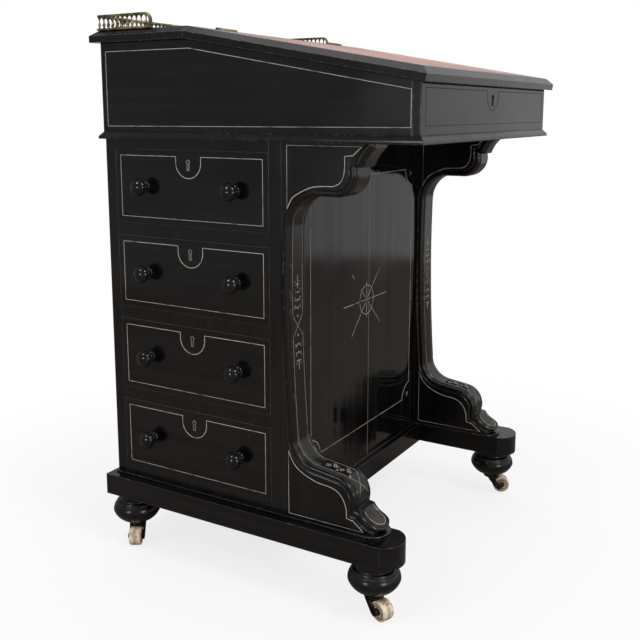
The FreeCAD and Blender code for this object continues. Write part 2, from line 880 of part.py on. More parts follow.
# the other side has dummy drawer fronts let into a solid panel
dummyPanel = newBody("dummy_side_panel")
addBox(dummyPanel, (panelHalf, kneeFace, pedestalBase), (halfPedestal, boxBack, pedestalTop))
dummyFronts = []
dummyKnobs = []
dummyInserts = []
for number, floor in enumerate(drawerFloors, start=1):
    addBox(dummyPanel, (halfPedestal - d.dummyDepth, openingLow, floor),
           (halfPedestal, openingHigh, floor + openingHeight), cut=True)
    front = makeFront("dummy_front_%d" % number, d.dummyDepth)
    insert = makeInsert("dummy_keyhole_%d" % number, keyHeight, d.dummyDepth)
    for piece in (front, insert):
        place(piece, halfPedestal, openingMiddle, floor, 180)
    dummyFronts.append(front)
    dummyInserts.append(insert)
    dummyKnobs += makeKnobs("dummy_knob_%d" % number, d.dummyDepth, floor, halfPedestal, 90)
keep(dummyPanel)
group("dummy_drawer_fronts", dummyFronts)
group("dummy_knobs", dummyKnobs)
group("dummy_escutcheons", dummyInserts)


# ---- writing box ----

boxBottom = newBody("box_bottom")
lipHalf = halfBox + d.bottomLip
lipFront = boxFront - d.bottomLip
lipBack = boxBack + d.bottomLip
edgeTop = pedestalTop + d.bottomEdge
addBox(boxBottom, (-lipHalf, lipFront, pedestalTop), (lipHalf, lipBack, edgeTop))
addSplay(boxBottom, (-lipHalf, lipFront, edgeTop), (lipHalf, lipBack, boxBase), [d.bottomLip] * 4)
keep(boxBottom)

seatAtFront = d.frontRise - d.lidSeat
seatAtWall = seatAtFront + d.frontWall * slope


def makeBoxSide(label, left):
    """A side board: level under the flat top and sloping under the lid."""
    body = newBody(label)
    padOutline(body, [
        (d.frontWall - d.boxDepth, 0, 0),
        (0, 0, 0),
        (0, d.backRise, 0),
        (-d.flatDepth, d.backRise, 0),
        (-d.flatDepth, d.backRise - d.lidSeat, 0),
        (d.frontWall - d.boxDepth, seatAtWall, 0),
    ], d.sideWall, "YZ_Plane")
    place(body, left, boxBack, boxBase)
    return body


group("box_sides", [makeBoxSide("left_side", -halfBox), makeBoxSide("right_side", halfBox - d.sideWall)])

# the front board and its lock are laid out with X running in from the outer face
boxFrontBoard = newBody("box_front")
padOutline(boxFrontBoard, [
    (0, 0, 0),
    (d.frontWall, 0, 0),
    (d.frontWall, seatAtWall, 0),
    (0, seatAtFront, 0),
], d.boxWidth, "XZ_Plane", -halfBox)
boxKeyHeight = d.frontRise - d.keyDrop
cutOutline(boxFrontBoard, keyhole(boxKeyHeight, d.insertWall), "YZ_Plane")
boxInsert = makeInsert("box_keyhole", boxKeyHeight, d.insertDepth)
boxCase = makeLockCase("box_lock_case", d.frontWall, d.frontRise)
boxBolt = makeBolt("box_lock_bolt", d.frontWall, d.frontRise)
for piece in (boxFrontBoard, boxInsert, boxCase, boxBolt):
    place(piece, 0, boxFront, boxBase, 90)
keep(boxFrontBoard)
keep(boxBolt)
group("box_lock", [boxInsert, boxCase])

innerHalf = halfBox - d.sideWall
keep(board("box_back", (-innerHalf, boxBack - d.backWall, boxBase), (innerHalf, boxBack, flatBase)))
keep(board("ridge_rail", (-innerHalf, ridge, flatBase - d.ridgeRailHeight),
           (innerHalf, ridge + d.ridgeRailDepth, flatBase)))


# ---- flat top and lid ----

halfGap = d.ridgeGap / 2
hingeMiddles = (-d.hingeSpread / 2, d.hingeSpread / 2)
knuckleRoom = d.knuckleRadius + d.hingeGap


def sinkHinge(body, sign, turn=0):
    """Let the hinges into a meeting edge; sign is 1 on the flat top and -1 on the lid."""
    face = halfGap if sign > 0 else -halfGap - d.leafThick
    y = face * slopeCos - d.leafHeight * slopeSin if turn else face
    z = -face * slopeSin - d.leafHeight * slopeCos if turn else -d.leafHeight
    for middle in hingeMiddles:
        left = middle - d.hingeLength / 2
        high = (left + d.hingeLength, y + d.leafThick, z + 2 * d.leafHeight)
        addBox(body, (left, y, z), high, cut=True, turn=turn)
        start = (left - d.hingeGap, 0, 0)
        addRod(body, knuckleRoom, d.hingeLength + 2 * d.hingeGap, start, "x", cut=True)


topBoard = newBody("top_board")
topEnd = d.flatDepth + d.topOverhang
bevelBase = d.fascia - d.topThick
addBox(topBoard, (-halfTop, halfGap, -d.topThick), (halfTop, topEnd, bevelBase))
addSplay(topBoard, (-halfTop, halfGap, bevelBase), (halfTop, topEnd, 0),
         (d.bevelWidth, d.bevelWidth, 0, d.bevelWidth))
sinkHinge(topBoard, 1)
place(topBoard, 0, ridge, flatTop)
keep(topBoard)

# lid pieces are laid out on the slope: Y up the slope to the ridge, Z up from the lid's top
lidThick = d.topThick * slopeCos
lidBevelBase = (d.fascia - d.topThick) * slopeCos
lidBack = -halfGap / slopeCos
lidFront = (lidBevelBase * slopeSin - (d.boxDepth - d.flatDepth + d.topOverhang)) / slopeCos


def faceLean(height):
    """How far the lid's upright rear face leans forward on the slope at a height under the top."""
    return lidBack + height * slope


def onLidBase(reach):
    """Place along the slope of the point of the lid's underside that is reach in front of the ridge."""
    return -reach / slopeCos - lidThick * slope


strikeReach = d.boxDepth - d.flatDepth - d.frontWall - d.lockDepth / 2
strikeLine = onLidBase(strikeReach)
slotHalf = d.boltThick / 2 + d.boltGap + d.strikeSlack
lidBoard = newBody("lid_board")
addSplay(lidBoard, (-halfTop, lidFront, -lidThick), (halfTop, faceLean(-lidThick), lidBevelBase),
         (0, 0, 0, faceLean(-lidThick) - faceLean(lidBevelBase)))
addSplay(lidBoard, (-halfTop, lidFront, lidBevelBase), (halfTop, faceLean(lidBevelBase), 0),
         (d.bevelWidth, d.bevelWidth, d.bevelWidth, faceLean(lidBevelBase) - lidBack))
sinkHinge(lidBoard, -1, -slopeAngle)
leatherHalf = halfTop - d.leatherMargin
leatherFront = lidFront + d.leatherMargin
leatherBack = -d.leatherMargin
addBox(lidBoard, (-leatherHalf, leatherFront, -d.leatherThick),
       (leatherHalf, leatherBack, d.leatherThick), cut=True)
addBox(lidBoard, (-d.strikeLength / 2, strikeLine - d.strikeWidth / 2, -2 * lidThick),
       (d.strikeLength / 2, strikeLine + d.strikeWidth / 2, d.strikeThick - lidThick), cut=True)
addBox(lidBoard, (-mortiseWidth / 2, strikeLine - slotHalf, -2 * lidThick),
       (mortiseWidth / 2, strikeLine + slotHalf, d.strikeDepth - lidThick), cut=True)

leather = board("writing_leather",
                (d.leatherGap - leatherHalf, leatherFront + d.leatherGap, -d.leatherThick),
                (leatherHalf - d.leatherGap, leatherBack - d.leatherGap, 0))

strike = newBody("lid_strike_plate")
addBox(strike, (-d.strikeLength / 2, strikeLine - d.strikeWidth / 2, -lidThick),
       (d.strikeLength / 2, strikeLine + d.strikeWidth / 2, d.strikeThick - lidThick))
addBox(strike, (-mortiseWidth / 2, strikeLine - slotHalf, -2 * lidThick),
       (mortiseWidth / 2, strikeLine + slotHalf, lidThick), cut=True)
for piece in (lidBoard, leather, strike):
    place(piece, 0, ridge, flatTop, slopeAngle, (1, 0, 0))
    keep(piece)


# ---- butt hinges ----

def makeLeaf(label, middle, fixed):
    """One leaf of a hinge: the fixed one has the outer knuckles and the pin."""
    body = newBody(label)
    left = -d.hingeLength / 2
    face = halfGap if fixed else -halfGap - d.leafThick
    addBox(body, (left, face, -d.leafHeight), (left + d.hingeLength, face + d.leafThick, 0))
    segment = d.hingeLength / 3
    starts = [left, left + segment, left + 2 * segment]
    mine = [starts[0], starts[2]] if fixed else [starts[1]]
    for start in starts:
        if start not in mine:
            addRod(body, knuckleRoom, segment, (start, 0, 0), "x", cut=True)
    for start in mine:
        trim = d.hingeGap / 2
        addRod(body, d.knuckleRadius, segment - 2 * trim, (start + trim, 0, 0), "x")
    if fixed:
        addRod(body, d.pinRadius, d.hingeLength - d.hingeGap, (left + d.hingeGap / 2, 0, 0), "x")
    else:
        addRod(body, d.pinRadius + d.pinFit, d.hingeLength, (left, 0, 0), "x", cut=True)
    place(body, middle, ridge, flatTop)
    return body


for label, fixed in (("hinge_leaves_fixed", True), ("hinge_leaves_lid", False)):
    leaves = [makeLeaf("%s_%d" % (label, number), middle, fixed)
              for number, middle in enumerate(hingeMiddles, start=1)]
    group(label, leaves)


# ---- gallery ----

galleryHalf = halfTop - d.galleryInset
galleryBack = boxBack + d.topOverhang - d.galleryInset
galleryFront = galleryBack - d.galleryReach
railBase = d.stripHeight + d.spindleHeight
railTop = railBase + d.railHeight


def makeStrip(label, low, high):
    body = newBody(label)
    addBox(body, (low[0], low[1], 0), (high[0], high[1], d.stripHeight))
    place(body, 0, 0, flatTop)
    return body


def makeSideRail(label, middle):
    """A side rail whose front end curves down on to the strip."""
    body = newBody(label)
    drop = railTop - d.stripHeight
    padOutline(body, [
        (galleryFront, d.stripHeight, 0),
        (galleryFront + d.railHeight, d.stripHeight, -(drop - d.railHeight)),
        (galleryFront + drop, railBase, 0),
        (galleryBack + d.railWidth / 2, railBase, 0),
        (galleryBack + d.railWidth / 2, railTop, 0),
        (galleryFront + drop, railTop, drop),
    ], d.railWidth, "YZ_Plane")
    place(body, middle - d.railWidth / 2, 0, flatTop)
    return body


stripHalf = d.stripWidth / 2
rails = []
for name, middle in (("left", -galleryHalf), ("right", galleryHalf)):
    low = (middle - stripHalf, galleryFront)
    rails.append(makeStrip(name + "_strip", low, (middle + stripHalf, galleryBack + stripHalf)))
    rails.append(makeSideRail(name + "_rail", middle))
low = (stripHalf - galleryHalf, galleryBack - stripHalf)
rails.append(makeStrip("rear_strip", low, (galleryHalf - stripHalf, galleryBack + stripHalf)))
rearRail = newBody("rear_rail")
railHalf = d.railWidth / 2
railEnd = galleryHalf - railHalf
addBox(rearRail, (-railEnd, galleryBack - railHalf, railBase), (railEnd, galleryBack + railHalf, railTop))
place(rearRail, 0, 0, flatTop)
rails.append(rearRail)
group("gallery_rails", rails)


def spindleShape():
    """One turned spindle: two bulbs between thin necks."""
    height = d.spindleHeight.number
    points = [FreeCAD.Vector(0, 0, 0)]
    for share, swells in spindleRings:
        radius = d.spindleRadius if swells else d.spindleNeck
        points.append(FreeCAD.Vector(radius.number, 0, share * height))
    points.append(FreeCAD.Vector(0, 0, height))
    face = Part.Face(Part.makePolygon(points + points[:1]))
    return face.revolve(FreeCAD.Vector(0, 0, 0), FreeCAD.Vector(0, 0, 1), 360)


def spindlePlaces():
    """Spindles along the two sides and across the back, at an even pitch."""
    half = galleryHalf.number
    back = galleryBack.number
    pitch = d.spindlePitch.number
    curved = (railTop - d.stripHeight).number
    sideCount = int((d.galleryReach.number - curved) / pitch) + 1
    rearGaps = round(2 * half / pitch)
    places = []
    for number in range(1, sideCount):
        places += [(-half, back - number * pitch), (half, back - number * pitch)]
    for number in range(rearGaps + 1):
        places.append((-half + number * 2 * half / rearGaps, back))
    return places


spindles = doc.addObject("Part::Feature", "spindles")
spindles.Label = "gallery_spindles"
oneSpindle = spindleShape()
spindles.Shape = Part.makeCompound([
    oneSpindle.translated(FreeCAD.Vector(x, y, d.stripHeight.number)) for x, y in spindlePlaces()
])
spindles.Placement = FreeCAD.Placement(FreeCAD.Vector(0, 0, flatTop.number), FreeCAD.Rotation())
keep(spindles)


# ---- check and write ----

doc.recompute()
for thing in doc.Objects:
    if "Invalid" in thing.State or "Error" in thing.State:
        raise RuntimeError("%s (%s) did not build" % (thing.Name, thing.Label))
os.makedirs("parts", exist_ok=True)
for name, thing in nodes.items():
    shape = thing.Shape
    if shape.isNull() or not shape.isValid():
        raise RuntimeError(name + " has no valid shape")
    shape.exportStep("parts/%s.step" % name)
    print("%-28s %3d solids %12.1f mm3" % (name, len(shape.Solids), shape.Volume))
print("%d nodes" % len(nodes))
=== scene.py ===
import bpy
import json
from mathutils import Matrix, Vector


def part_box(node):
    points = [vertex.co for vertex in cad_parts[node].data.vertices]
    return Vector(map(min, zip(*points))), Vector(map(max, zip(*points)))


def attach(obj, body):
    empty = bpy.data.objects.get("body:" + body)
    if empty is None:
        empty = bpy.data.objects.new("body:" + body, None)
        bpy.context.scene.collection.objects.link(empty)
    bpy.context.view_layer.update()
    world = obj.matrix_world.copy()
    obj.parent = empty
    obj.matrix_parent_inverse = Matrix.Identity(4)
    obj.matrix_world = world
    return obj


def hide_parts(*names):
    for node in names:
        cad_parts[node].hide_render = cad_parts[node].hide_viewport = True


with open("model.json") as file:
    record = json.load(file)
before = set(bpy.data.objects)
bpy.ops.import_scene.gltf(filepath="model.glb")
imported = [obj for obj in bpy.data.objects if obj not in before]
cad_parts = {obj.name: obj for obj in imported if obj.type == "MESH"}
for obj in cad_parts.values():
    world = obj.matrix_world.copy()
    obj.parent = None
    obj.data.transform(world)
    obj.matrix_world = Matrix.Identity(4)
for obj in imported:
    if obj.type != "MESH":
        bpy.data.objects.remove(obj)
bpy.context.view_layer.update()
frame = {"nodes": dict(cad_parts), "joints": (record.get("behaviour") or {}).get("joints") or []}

import fnmatch
import json
import math

import bmesh
import bpy
from mathutils import Matrix, Vector

nodes = frame["nodes"]
joints = {joint["name"]: joint for joint in frame["joints"]}
drawers = range(1, 5)
sides = ("left", "right")
corners = ("front_left", "front_right", "rear_left", "rear_right")
milli = 0.001  # a millimetre in metres
print("frame loaded:", len(nodes), "nodes")


# node trees

def addNode(tree, kind, inputs, **settings):
    node = tree.nodes.new(kind)
    for key, value in settings.items():
        setattr(node, key, value)
    for key, value in inputs.items():
        if isinstance(value, bpy.types.NodeSocket):
            tree.links.new(value, node.inputs[key])
        else:
            node.inputs[key].default_value = value
    return node


class shaderTree:
    # the tree of a material or of the world, with short names for what its nodes do

    def __init__(self, owner):
        self.owner = owner
        owner.use_nodes = True
        self.tree = owner.node_tree
        self.tree.nodes.clear()
        self.spots = self.node("TexCoord", {}).outputs
        self.place = self.spots["Object"]

    def node(self, kind, inputs, **settings):
        return addNode(self.tree, "ShaderNode" + kind, inputs, **settings)

    def mapped(self, size, shift=(0, 0, 0)):
        scale = size if isinstance(size, tuple) else (size, size, size)
        return self.node("Mapping", {"Vector": self.place, "Scale": scale, "Location": shift}).outputs[0]

    def noise(self, size, detail, shift=(0, 0, 0)):
        spot = self.mapped(size, shift)
        return self.node("TexNoise", {"Vector": spot, "Scale": 1.0, "Detail": detail}).outputs["Fac"]

    def cells(self, size, feature="F1"):
        return self.node("TexVoronoi", {"Vector": self.mapped(size), "Scale": 1.0}, feature=feature).outputs

    def work(self, operation, first, second=0.0):
        return self.node("Math", {0: first, 1: second}, operation=operation).outputs[0]

    def times(self, first, second):
        return self.work("MULTIPLY", first, second)

    def spread(self, value, low, high, start=0.0, end=1.0):
        sizes = {"Value": value, "From Min": low, "From Max": high, "To Min": start, "To Max": end}
        return self.node("MapRange", sizes, interpolation_type="SMOOTHSTEP").outputs["Result"]

    def vectors(self, operation, first, second=(0, 0, 0)):
        return self.node("VectorMath", {0: first, 1: second}, operation=operation).outputs["Value"]

    def layered(self, colour, *coats):
        # each coat is a share and the colour that it lays over the ones before
        for share, coat in coats:
            under, over = (value if isinstance(value, bpy.types.NodeSocket) else (*value, 1.0)
                           for value in (colour, coat))
            colour = self.node("Mix", {0: share, 6: under, 7: over}, data_type="RGBA").outputs[2]
        return colour

    def rounded(self, radius):
        return self.node("Bevel", {"Radius": radius}, samples=4).outputs[0]

    def edge(self, rounded, start, full):
        true = self.node("NewGeometry", {}).outputs["Normal"]
        return self.spread(self.vectors("DOT_PRODUCT", rounded, true), start, full)

    def bump(self, height, distance, strength, normal=None):
        inputs = {"Height": height, "Distance": distance, "Strength": strength}
        if normal is not None:
            inputs["Normal"] = normal
        return self.node("Bump", inputs).outputs[0]

    def surfaced(self, shader):
        self.node("OutputMaterial", {"Surface": shader.outputs[0]})
        return self.owner

    def finished(self, colour, rough, **others):
        inputs = {"Base Color": colour, "Roughness": rough}
        inputs.update((word.replace("_", " "), value) for word, value in others.items())
        return self.surfaced(self.node("BsdfPrincipled", inputs))


def newFinish(name):
    return shaderTree(bpy.data.materials.new(name))


def pick(sizes, words):
    return (sizes[word] for word in words.split())


def grained(grain, sizes, share=1.0):
    across, along = sizes
    return tuple(share * (along if axis == grain else across) for axis in "xyz")


# finishes

ebony = {
    "ground": (0.0013, 0.0013, 0.0014),
    "figure": (0.0055, 0.0053, 0.0050),
    "rubbed": (0.075, 0.069, 0.062),
    # paleRubAndHighlight is a paler rub on worn arrises, and also the painted highlight along the knee panel's joint
    "paleRubAndHighlight": (0.20, 0.185, 0.165),
    "scuffed": (0.30, 0.265, 0.22),
    "dusty": (0.26, 0.245, 0.22),
    "pores": (330.0, 14.0),  # across and along the grain
    "figureShare": 0.22,  # of the pores' fineness
    "specks": (80.0, 0.050),  # cells in a metre, and a speck's share of its cell
    "smears": (9, 4.0, (0.3, 5.2, 2.8)),  # noise: cells in a metre, detail and shift
    "chips": (120, 5.0, (7.3, 0.6, 1.1)),
    "patches": (14, 2.0, (2.2, 8.4, 0.9)),
    "swell": (5, 1.0),
    "fine": (0.0012, 0.998, 0.93),  # an arris: radius, and how alike its normals are where wear starts and is full
    "broad": (0.003, 0.99, 0.78),
    "figured": (0.35, 0.70),  # the noise where a thing starts and is full, sometimes with its strength at both
    "worn": ((0.42, 0.62), (0.12, 0.16)),  # the same, and how much less under full cover
    "broken": (0.50, 0.60),
    "speckled": (0.78, 0.84, 0.0, 0.6),
    "smeared": (0.30, 0.75),
    "duller": (0.11, 0.45),  # roughness added by smears and by chips
    "ripple": (0.0009, 0.25),  # bumps: height in metres and strength
    "grain": (0.00006, 0.35),
    "seamHighlight": (0.0009, 0.0004, 0.0, 0.9),  # a painted highlight along the joint, by the distance from it
    "lean": (0.005, 0.002),  # of the second board, across and up
    "hollows": ((34, 1, 1.3), 2.0),
    "hollow": 0.0008,
}


def makeEbony(name, grain, gloss, rub, chip, arris="fine", cover=0.0, jointAt=None):
    # rub greys the arrises all along, chip breaks them here and there, cover lets the breaks run further
    tree = newFinish(name)
    pores = tree.noise(grained(grain, ebony["pores"]), 4.0)
    figure = tree.noise(grained(grain, ebony["pores"], ebony["figureShare"]), 5.0, (3.1, 1.7, 0.4))
    smears, chips, patches, swell = (tree.noise(*sizes) for sizes in pick(ebony, "smears chips patches swell"))
    radius, start, full = ebony[arris]
    normal = tree.rounded(radius)
    edge = tree.edge(normal, start, full)

    worn = tree.times(edge, tree.spread(patches, *(noise - less * cover for noise, less in zip(*ebony["worn"]))))
    chipped = tree.times(worn, tree.spread(chips, *ebony["broken"], 0.0, chip))
    count, size = ebony["specks"]
    cells = tree.cells(count)
    chosen = tree.node("SeparateColor", {0: cells["Color"]}).outputs[0]
    dustAndShade = tree.times(tree.spread(cells["Distance"], size, size / 2), tree.spread(chosen, *ebony["speckled"]))
    colour = tree.layered(
        ebony["ground"], (tree.spread(figure, *ebony["figured"]), ebony["figure"]),
        (tree.times(edge, rub), ebony["paleRubAndHighlight" if cover else "rubbed"]),
        (chipped, ebony["scuffed"]), (dustAndShade, ebony["dusty"]))
    if jointAt is not None:
        colour, normal = boarded(tree, jointAt, colour, normal)
    smeared, broken = ebony["duller"]
    rough = tree.work("ADD", tree.spread(smears, *ebony["smeared"], gloss, gloss + smeared),
                      tree.times(chipped, broken))
    ripple = tree.bump(swell, *ebony["ripple"], normal)
    return tree.finished(colour, rough, Normal=tree.bump(pores, *ebony["grain"], ripple))


def boarded(tree, jointAt, colour, normal):
    # two upright boards that meet at x = jointAt, the second a little out of line, both planed in long hollows, with a
    # highlight painted pale along the joint
    x, _, z = tree.node("SeparateXYZ", {0: tree.place}).outputs
    beyond = tree.work("SUBTRACT", x, jointAt)
    # painted highlight: a pale line along the joint
    seamHighlight = tree.spread(tree.work("ABSOLUTE", beyond), *ebony["seamHighlight"])
    sideways, upwards = ebony["lean"]
    lean = tree.work("ADD", tree.times(tree.work("MAXIMUM", beyond), sideways), tree.times(z, upwards))
    hollows = tree.times(tree.noise(*ebony["hollows"]), ebony["hollow"])
    bent = tree.bump(tree.work("ADD", lean, hollows), 1.0, 1.0, normal)
    return tree.layered(colour, (seamHighlight, ebony["paleRubAndHighlight"])), bent


bare = {
    "pale": (0.34, 0.185, 0.085),
    "dark": (0.16, 0.075, 0.035),
    "dustAndShade": (0.05, 0.035, 0.025),
    "rings": (95.0, 6.0),  # across and along the grain
    "bands": 0.30,  # shares of the rings' fineness
    "fibres": 6.0,
    "dirt": (16, 4.0),
    "banded": (0.35, 0.68),
    "fibrous": (0.45, 0.75, 0.0, 0.5),
    "dirty": (0.52, 0.80, 0.0, 0.45),
    "arris": 0.0006,
    "grain": (0.00012, 0.6),
    "roughness": (0.3, 0.8, 0.48, 0.70),
}


def makeBareWood(name, grain):
    tree = newFinish(name)
    bands = tree.noise(grained(grain, bare["rings"], bare["bands"]), 3.0)
    fibres = tree.noise(grained(grain, bare["rings"], bare["fibres"]), 4.0, (1.4, 0.2, 3.3))
    colour = tree.layered(
        bare["pale"], (tree.spread(bands, *bare["banded"]), bare["dark"]),
        (tree.spread(fibres, *bare["fibrous"]), bare["dark"]),
        (tree.spread(tree.noise(*bare["dirt"]), *bare["dirty"]), bare["dustAndShade"]))
    normal = tree.bump(fibres, *bare["grain"], tree.rounded(bare["arris"]))
    return tree.finished(colour, tree.spread(fibres, *bare["roughness"]), Normal=normal)


metals = {  # clean, tarnished, the tarnish's share and the least roughness
    "galleryBrass": ((0.50, 0.41, 0.24), (0.085, 0.072, 0.046), 0.85, 0.27),
    "castorBrass": ((0.075, 0.068, 0.046), (0.013, 0.012, 0.009), 1.0, 0.34),
    "lockSteel": ((0.62, 0.60, 0.55), (0.26, 0.22, 0.17), 0.6, 0.34),
    "dullSteel": ((0.050, 0.046, 0.040), (0.018, 0.016, 0.013), 0.8, 0.45),
}
tarnish = {
    "clouds": (70, 5.0),
    "clouded": (0.36, 0.62),
    "arris": (0.0005, 0.99, 0.70),
    "rubbedOff": 0.7,  # share that an arris loses
    "roughness": (0.3, 0.7, 0.2),  # from and to which noise, and how much it adds
    "specks": (900, 2.0),
    "speck": (0.00004, 0.5),
}
keyhole = {
    "dark": (0.0005, 0.0011),  # behind the face, where the painted shade inside the keyhole starts and is full
    "case": (0.0164, 0.0160),  # and where the case begins
    # the colour of the painted shade inside the keyhole
    "keyholeShade": (0.004, 0.0035, 0.003),
}


def makeMetal(name, axis=None, face=0.0):
    # with an axis, shade is painted dark inside the keyhole behind the face
    clean, tarnished, share, least = metals[name]
    tree = newFinish(name)
    clouds = tree.noise(*tarnish["clouds"])
    radius, start, full = tarnish["arris"]
    normal = tree.rounded(radius)
    kept = tree.work("SUBTRACT", 1.0, tree.times(tree.edge(normal, start, full), tarnish["rubbedOff"]))
    coat = tree.times(tree.spread(clouds, *tarnish["clouded"], 0.0, share), kept)
    colour = tree.layered(clean, (coat, tarnished))
    if axis is not None:
        # painted shade: the keyhole's inside is darkened from just behind the face to where the case begins
        across = tree.node("SeparateXYZ", {0: tree.place}).outputs["xyz".index(axis)]
        depth = tree.work("SUBTRACT", face, tree.work("ABSOLUTE", across))
        inside = tree.times(tree.spread(depth, *keyhole["dark"]), tree.spread(depth, *keyhole["case"]))
        colour = tree.layered(colour, (inside, keyhole["keyholeShade"]))
    specks = tree.bump(tree.noise(*tarnish["specks"]), *tarnish["speck"], normal)
    start, full, more = tarnish["roughness"]
    return tree.finished(colour, tree.spread(clouds, start, full, least, least + more), Metallic=1.0, Normal=specks)


lines = {  # as laid, and where it is lost
    "giltLine": ((0.56, 0.495, 0.425), (0.17, 0.15, 0.125)),
    "fadedLine": ((0.030, 0.027, 0.024), (0.010, 0.009, 0.008)),
    "dimLine": ((0.26, 0.23, 0.195), (0.065, 0.057, 0.047)),
    "wornLine": ((0.13, 0.11, 0.085), (0.030, 0.026, 0.021)),
    # a dark ground: painted shadow under the lid on the box front, and the flowers' dark ground on the legs
    "sootyGround": ((0.0030, 0.0028, 0.0026), (0.0080, 0.0076, 0.0070)),
}
lineWear = {
    "breaks": (60, 4.0),
    "broken": (0.50, 0.74),
    "roughness": (0.3, 0.7, 0.5, 0.75),
    "sheen": 0.15,
}


def makeLineFinish(name):
    tree = newFinish(name)
    laid, lost = lines[name]
    breaks = tree.noise(*lineWear["breaks"])
    colour = tree.layered(laid, (tree.spread(breaks, *lineWear["broken"]), lost))
    rough = tree.spread(breaks, *lineWear["roughness"])
    return tree.finished(colour, rough, Specular_IOR_Level=lineWear["sheen"])


hide = {
    "faded": (0.60, 0.28, 0.23),
    "deep": (0.46, 0.155, 0.125),
    "dark": (0.12, 0.030, 0.025),
    "wear": (7, 5.0),
    "worn": (0.35, 0.65),
    "marks": (45, 4.0, (1.0, 4.0, 2.0)),
    "marked": (0.55, 0.85, 0.0, 0.45),
    "pebbles": 620,  # cells in a metre
    "pebble": (0.00018, 0.5),
    "roughness": (0.3, 0.7, 0.42, 0.30),
    "sheen": 0.75,
}


def makeLeather(name):
    tree = newFinish(name)
    wear, marks = (tree.noise(*sizes) for sizes in pick(hide, "wear marks"))
    grain = tree.cells(hide["pebbles"], "DISTANCE_TO_EDGE")["Distance"]
    colour = tree.layered(hide["deep"], (tree.spread(wear, *hide["worn"]), hide["faded"]),
                          (tree.spread(marks, *hide["marked"]), hide["dark"]))
    return tree.finished(colour, tree.spread(wear, *hide["roughness"]), Specular_IOR_Level=hide["sheen"],
                         Normal=tree.bump(grain, *hide["pebble"]))


china = {
    "glaze": (0.93, 0.80, 0.60),
    "stain": (0.40, 0.20, 0.085),
    "grime": (0.045, 0.020, 0.010),
    "clouds": (75, 5.0),
    "clouded": (0.50, 0.72, 0.0, 0.75),
    "crazing": 260,  # cells in a metre
    "crazed": (0.05, 0.0, 0.0, 0.30),
    "streaks": (55, 2.0, (4.4, 1.2, 0.7)),
    "streaked": (0.016, 0.004, 0.0, 0.85),  # by how near the noise is to its middle
    "spots": (420, 2.0, (2.0, 7.1, 5.2)),
    "spotted": (0.66, 0.72, 0.0, 0.8),
    "dirt": (150, 3.0, (6.0, 2.0, 1.0)),
    "uneven": (0.36, 0.56, 0.72, 1.0),
    "roughness": (0.4, 0.8, 0.16, 0.42),
}


def makePorcelain(name):
    tree = newFinish(name)
    clouds, streaks, spots, dirt = (tree.noise(*sizes) for sizes in pick(china, "clouds streaks spots dirt"))
    crazing = tree.cells(china["crazing"], "DISTANCE_TO_EDGE")["Distance"]
    streak = tree.work("ABSOLUTE", tree.work("SUBTRACT", streaks, 0.5))
    grime = tree.node("Attribute", {}, attribute_name="grime").outputs["Fac"]
    stains = zip((clouds, crazing, streak, spots), pick(china, "clouded crazed streaked spotted"))
    colour = tree.layered(china["glaze"], *((tree.spread(value, *sizes), china["stain"]) for value, sizes in stains),
                          (tree.times(grime, tree.spread(dirt, *china["uneven"])), china["grime"]))
    return tree.finished(colour, tree.spread(clouds, *china["roughness"]))


finishes = {name: makeLineFinish(name) for name in lines}
for name, make, sizes, words in (  # each with the CAD nodes that take it
    ("boxAlongX", makeEbony, ("x", 0.13, 0.2, 0.4, "broad"), "box_bottom box_front box_back ridge_rail"),
    ("boxAlongY", makeEbony, ("y", 0.15, 0.2, 0.4, "broad"), "box_sides"),
    ("lidEbony", makeEbony, ("x", 0.13, 0.55, 1.0, "fine", 1.0), "top_board lid_board"),
    ("drawerEbony", makeEbony, ("y", 0.12, 0.5, 0.28, "fine", 0.2), "dummy_drawer_fronts drawer_?_front"),
    ("frameEbony", makeEbony, ("z", 0.15, 0.35, 0.0), "back_panel drawer_face_frame dummy_side_panel"),
    ("plinthEbony", makeEbony, ("y", 0.17, 0.6, 0.5), "plinth_arms plinth_rails base_fillet"),
    ("legEbony", makeEbony, ("z", 0.15, 0.4, 0.25), "*_bracket_leg"),
    ("kneeEbony", makeEbony, ("z", 0.06, 0.3, 0.0, "fine", 0.0, 0.012), "knee_panel"),
    ("footEbony", makeEbony, ("z", 0.15, 0.4, 0.3), "bun_feet"),
    ("knobEbony", makeEbony, ("z", 0.06, 0.4, 0.3), "dummy_knobs drawer_?_knobs"),
    ("bareWoodAlongX", makeBareWood, "x", "drawer_runners drawer_?_box"),
    ("bareWoodAlongY", makeBareWood, "y", "pedestal_boards"),
    ("galleryBrass", makeMetal, (), "gallery_* lid_strike_plate hinge_leaves_*"),
    ("castorBrass", makeMetal, (), "castor_plates castor_horn_*"),
    ("lockSteel", makeMetal, ("x", 0.2555), "dummy_escutcheons drawer_?_lock"),
    ("lockSteel", makeMetal, (), "box_lock_bolt drawer_?_bolt"),
    ("dullSteel", makeMetal, ("y", 0.2685), "box_lock"),
    ("fadedLeather", makeLeather, (), "writing_leather"),
    ("stainedPorcelain", makePorcelain, (), "castor_wheel_*"),
):
    finishes[name] = make(name, *sizes)
    for word in words.split():
        for node in fnmatch.filter(nodes, word):
            nodes[node].data.materials.clear()
            nodes[node].data.materials.append(finishes[name])
print("finishes set")


# helpers for pieces

def linked(name, data):
    thing = bpy.data.objects.new(name, data)
    bpy.context.scene.collection.objects.link(thing)
    return thing


def newMesh(name, points, edges, faces):
    mesh = bpy.data.meshes.new(name)
    mesh.from_pydata([tuple(point) for point in points], edges, faces)
    return mesh


def newPiece(name, mesh, body, finish, *replaced):
    piece = linked(name, mesh)
    mesh.materials.clear()
    mesh.materials.append(finishes[finish])
    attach(piece, body)
    if replaced:
        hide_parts(*replaced)


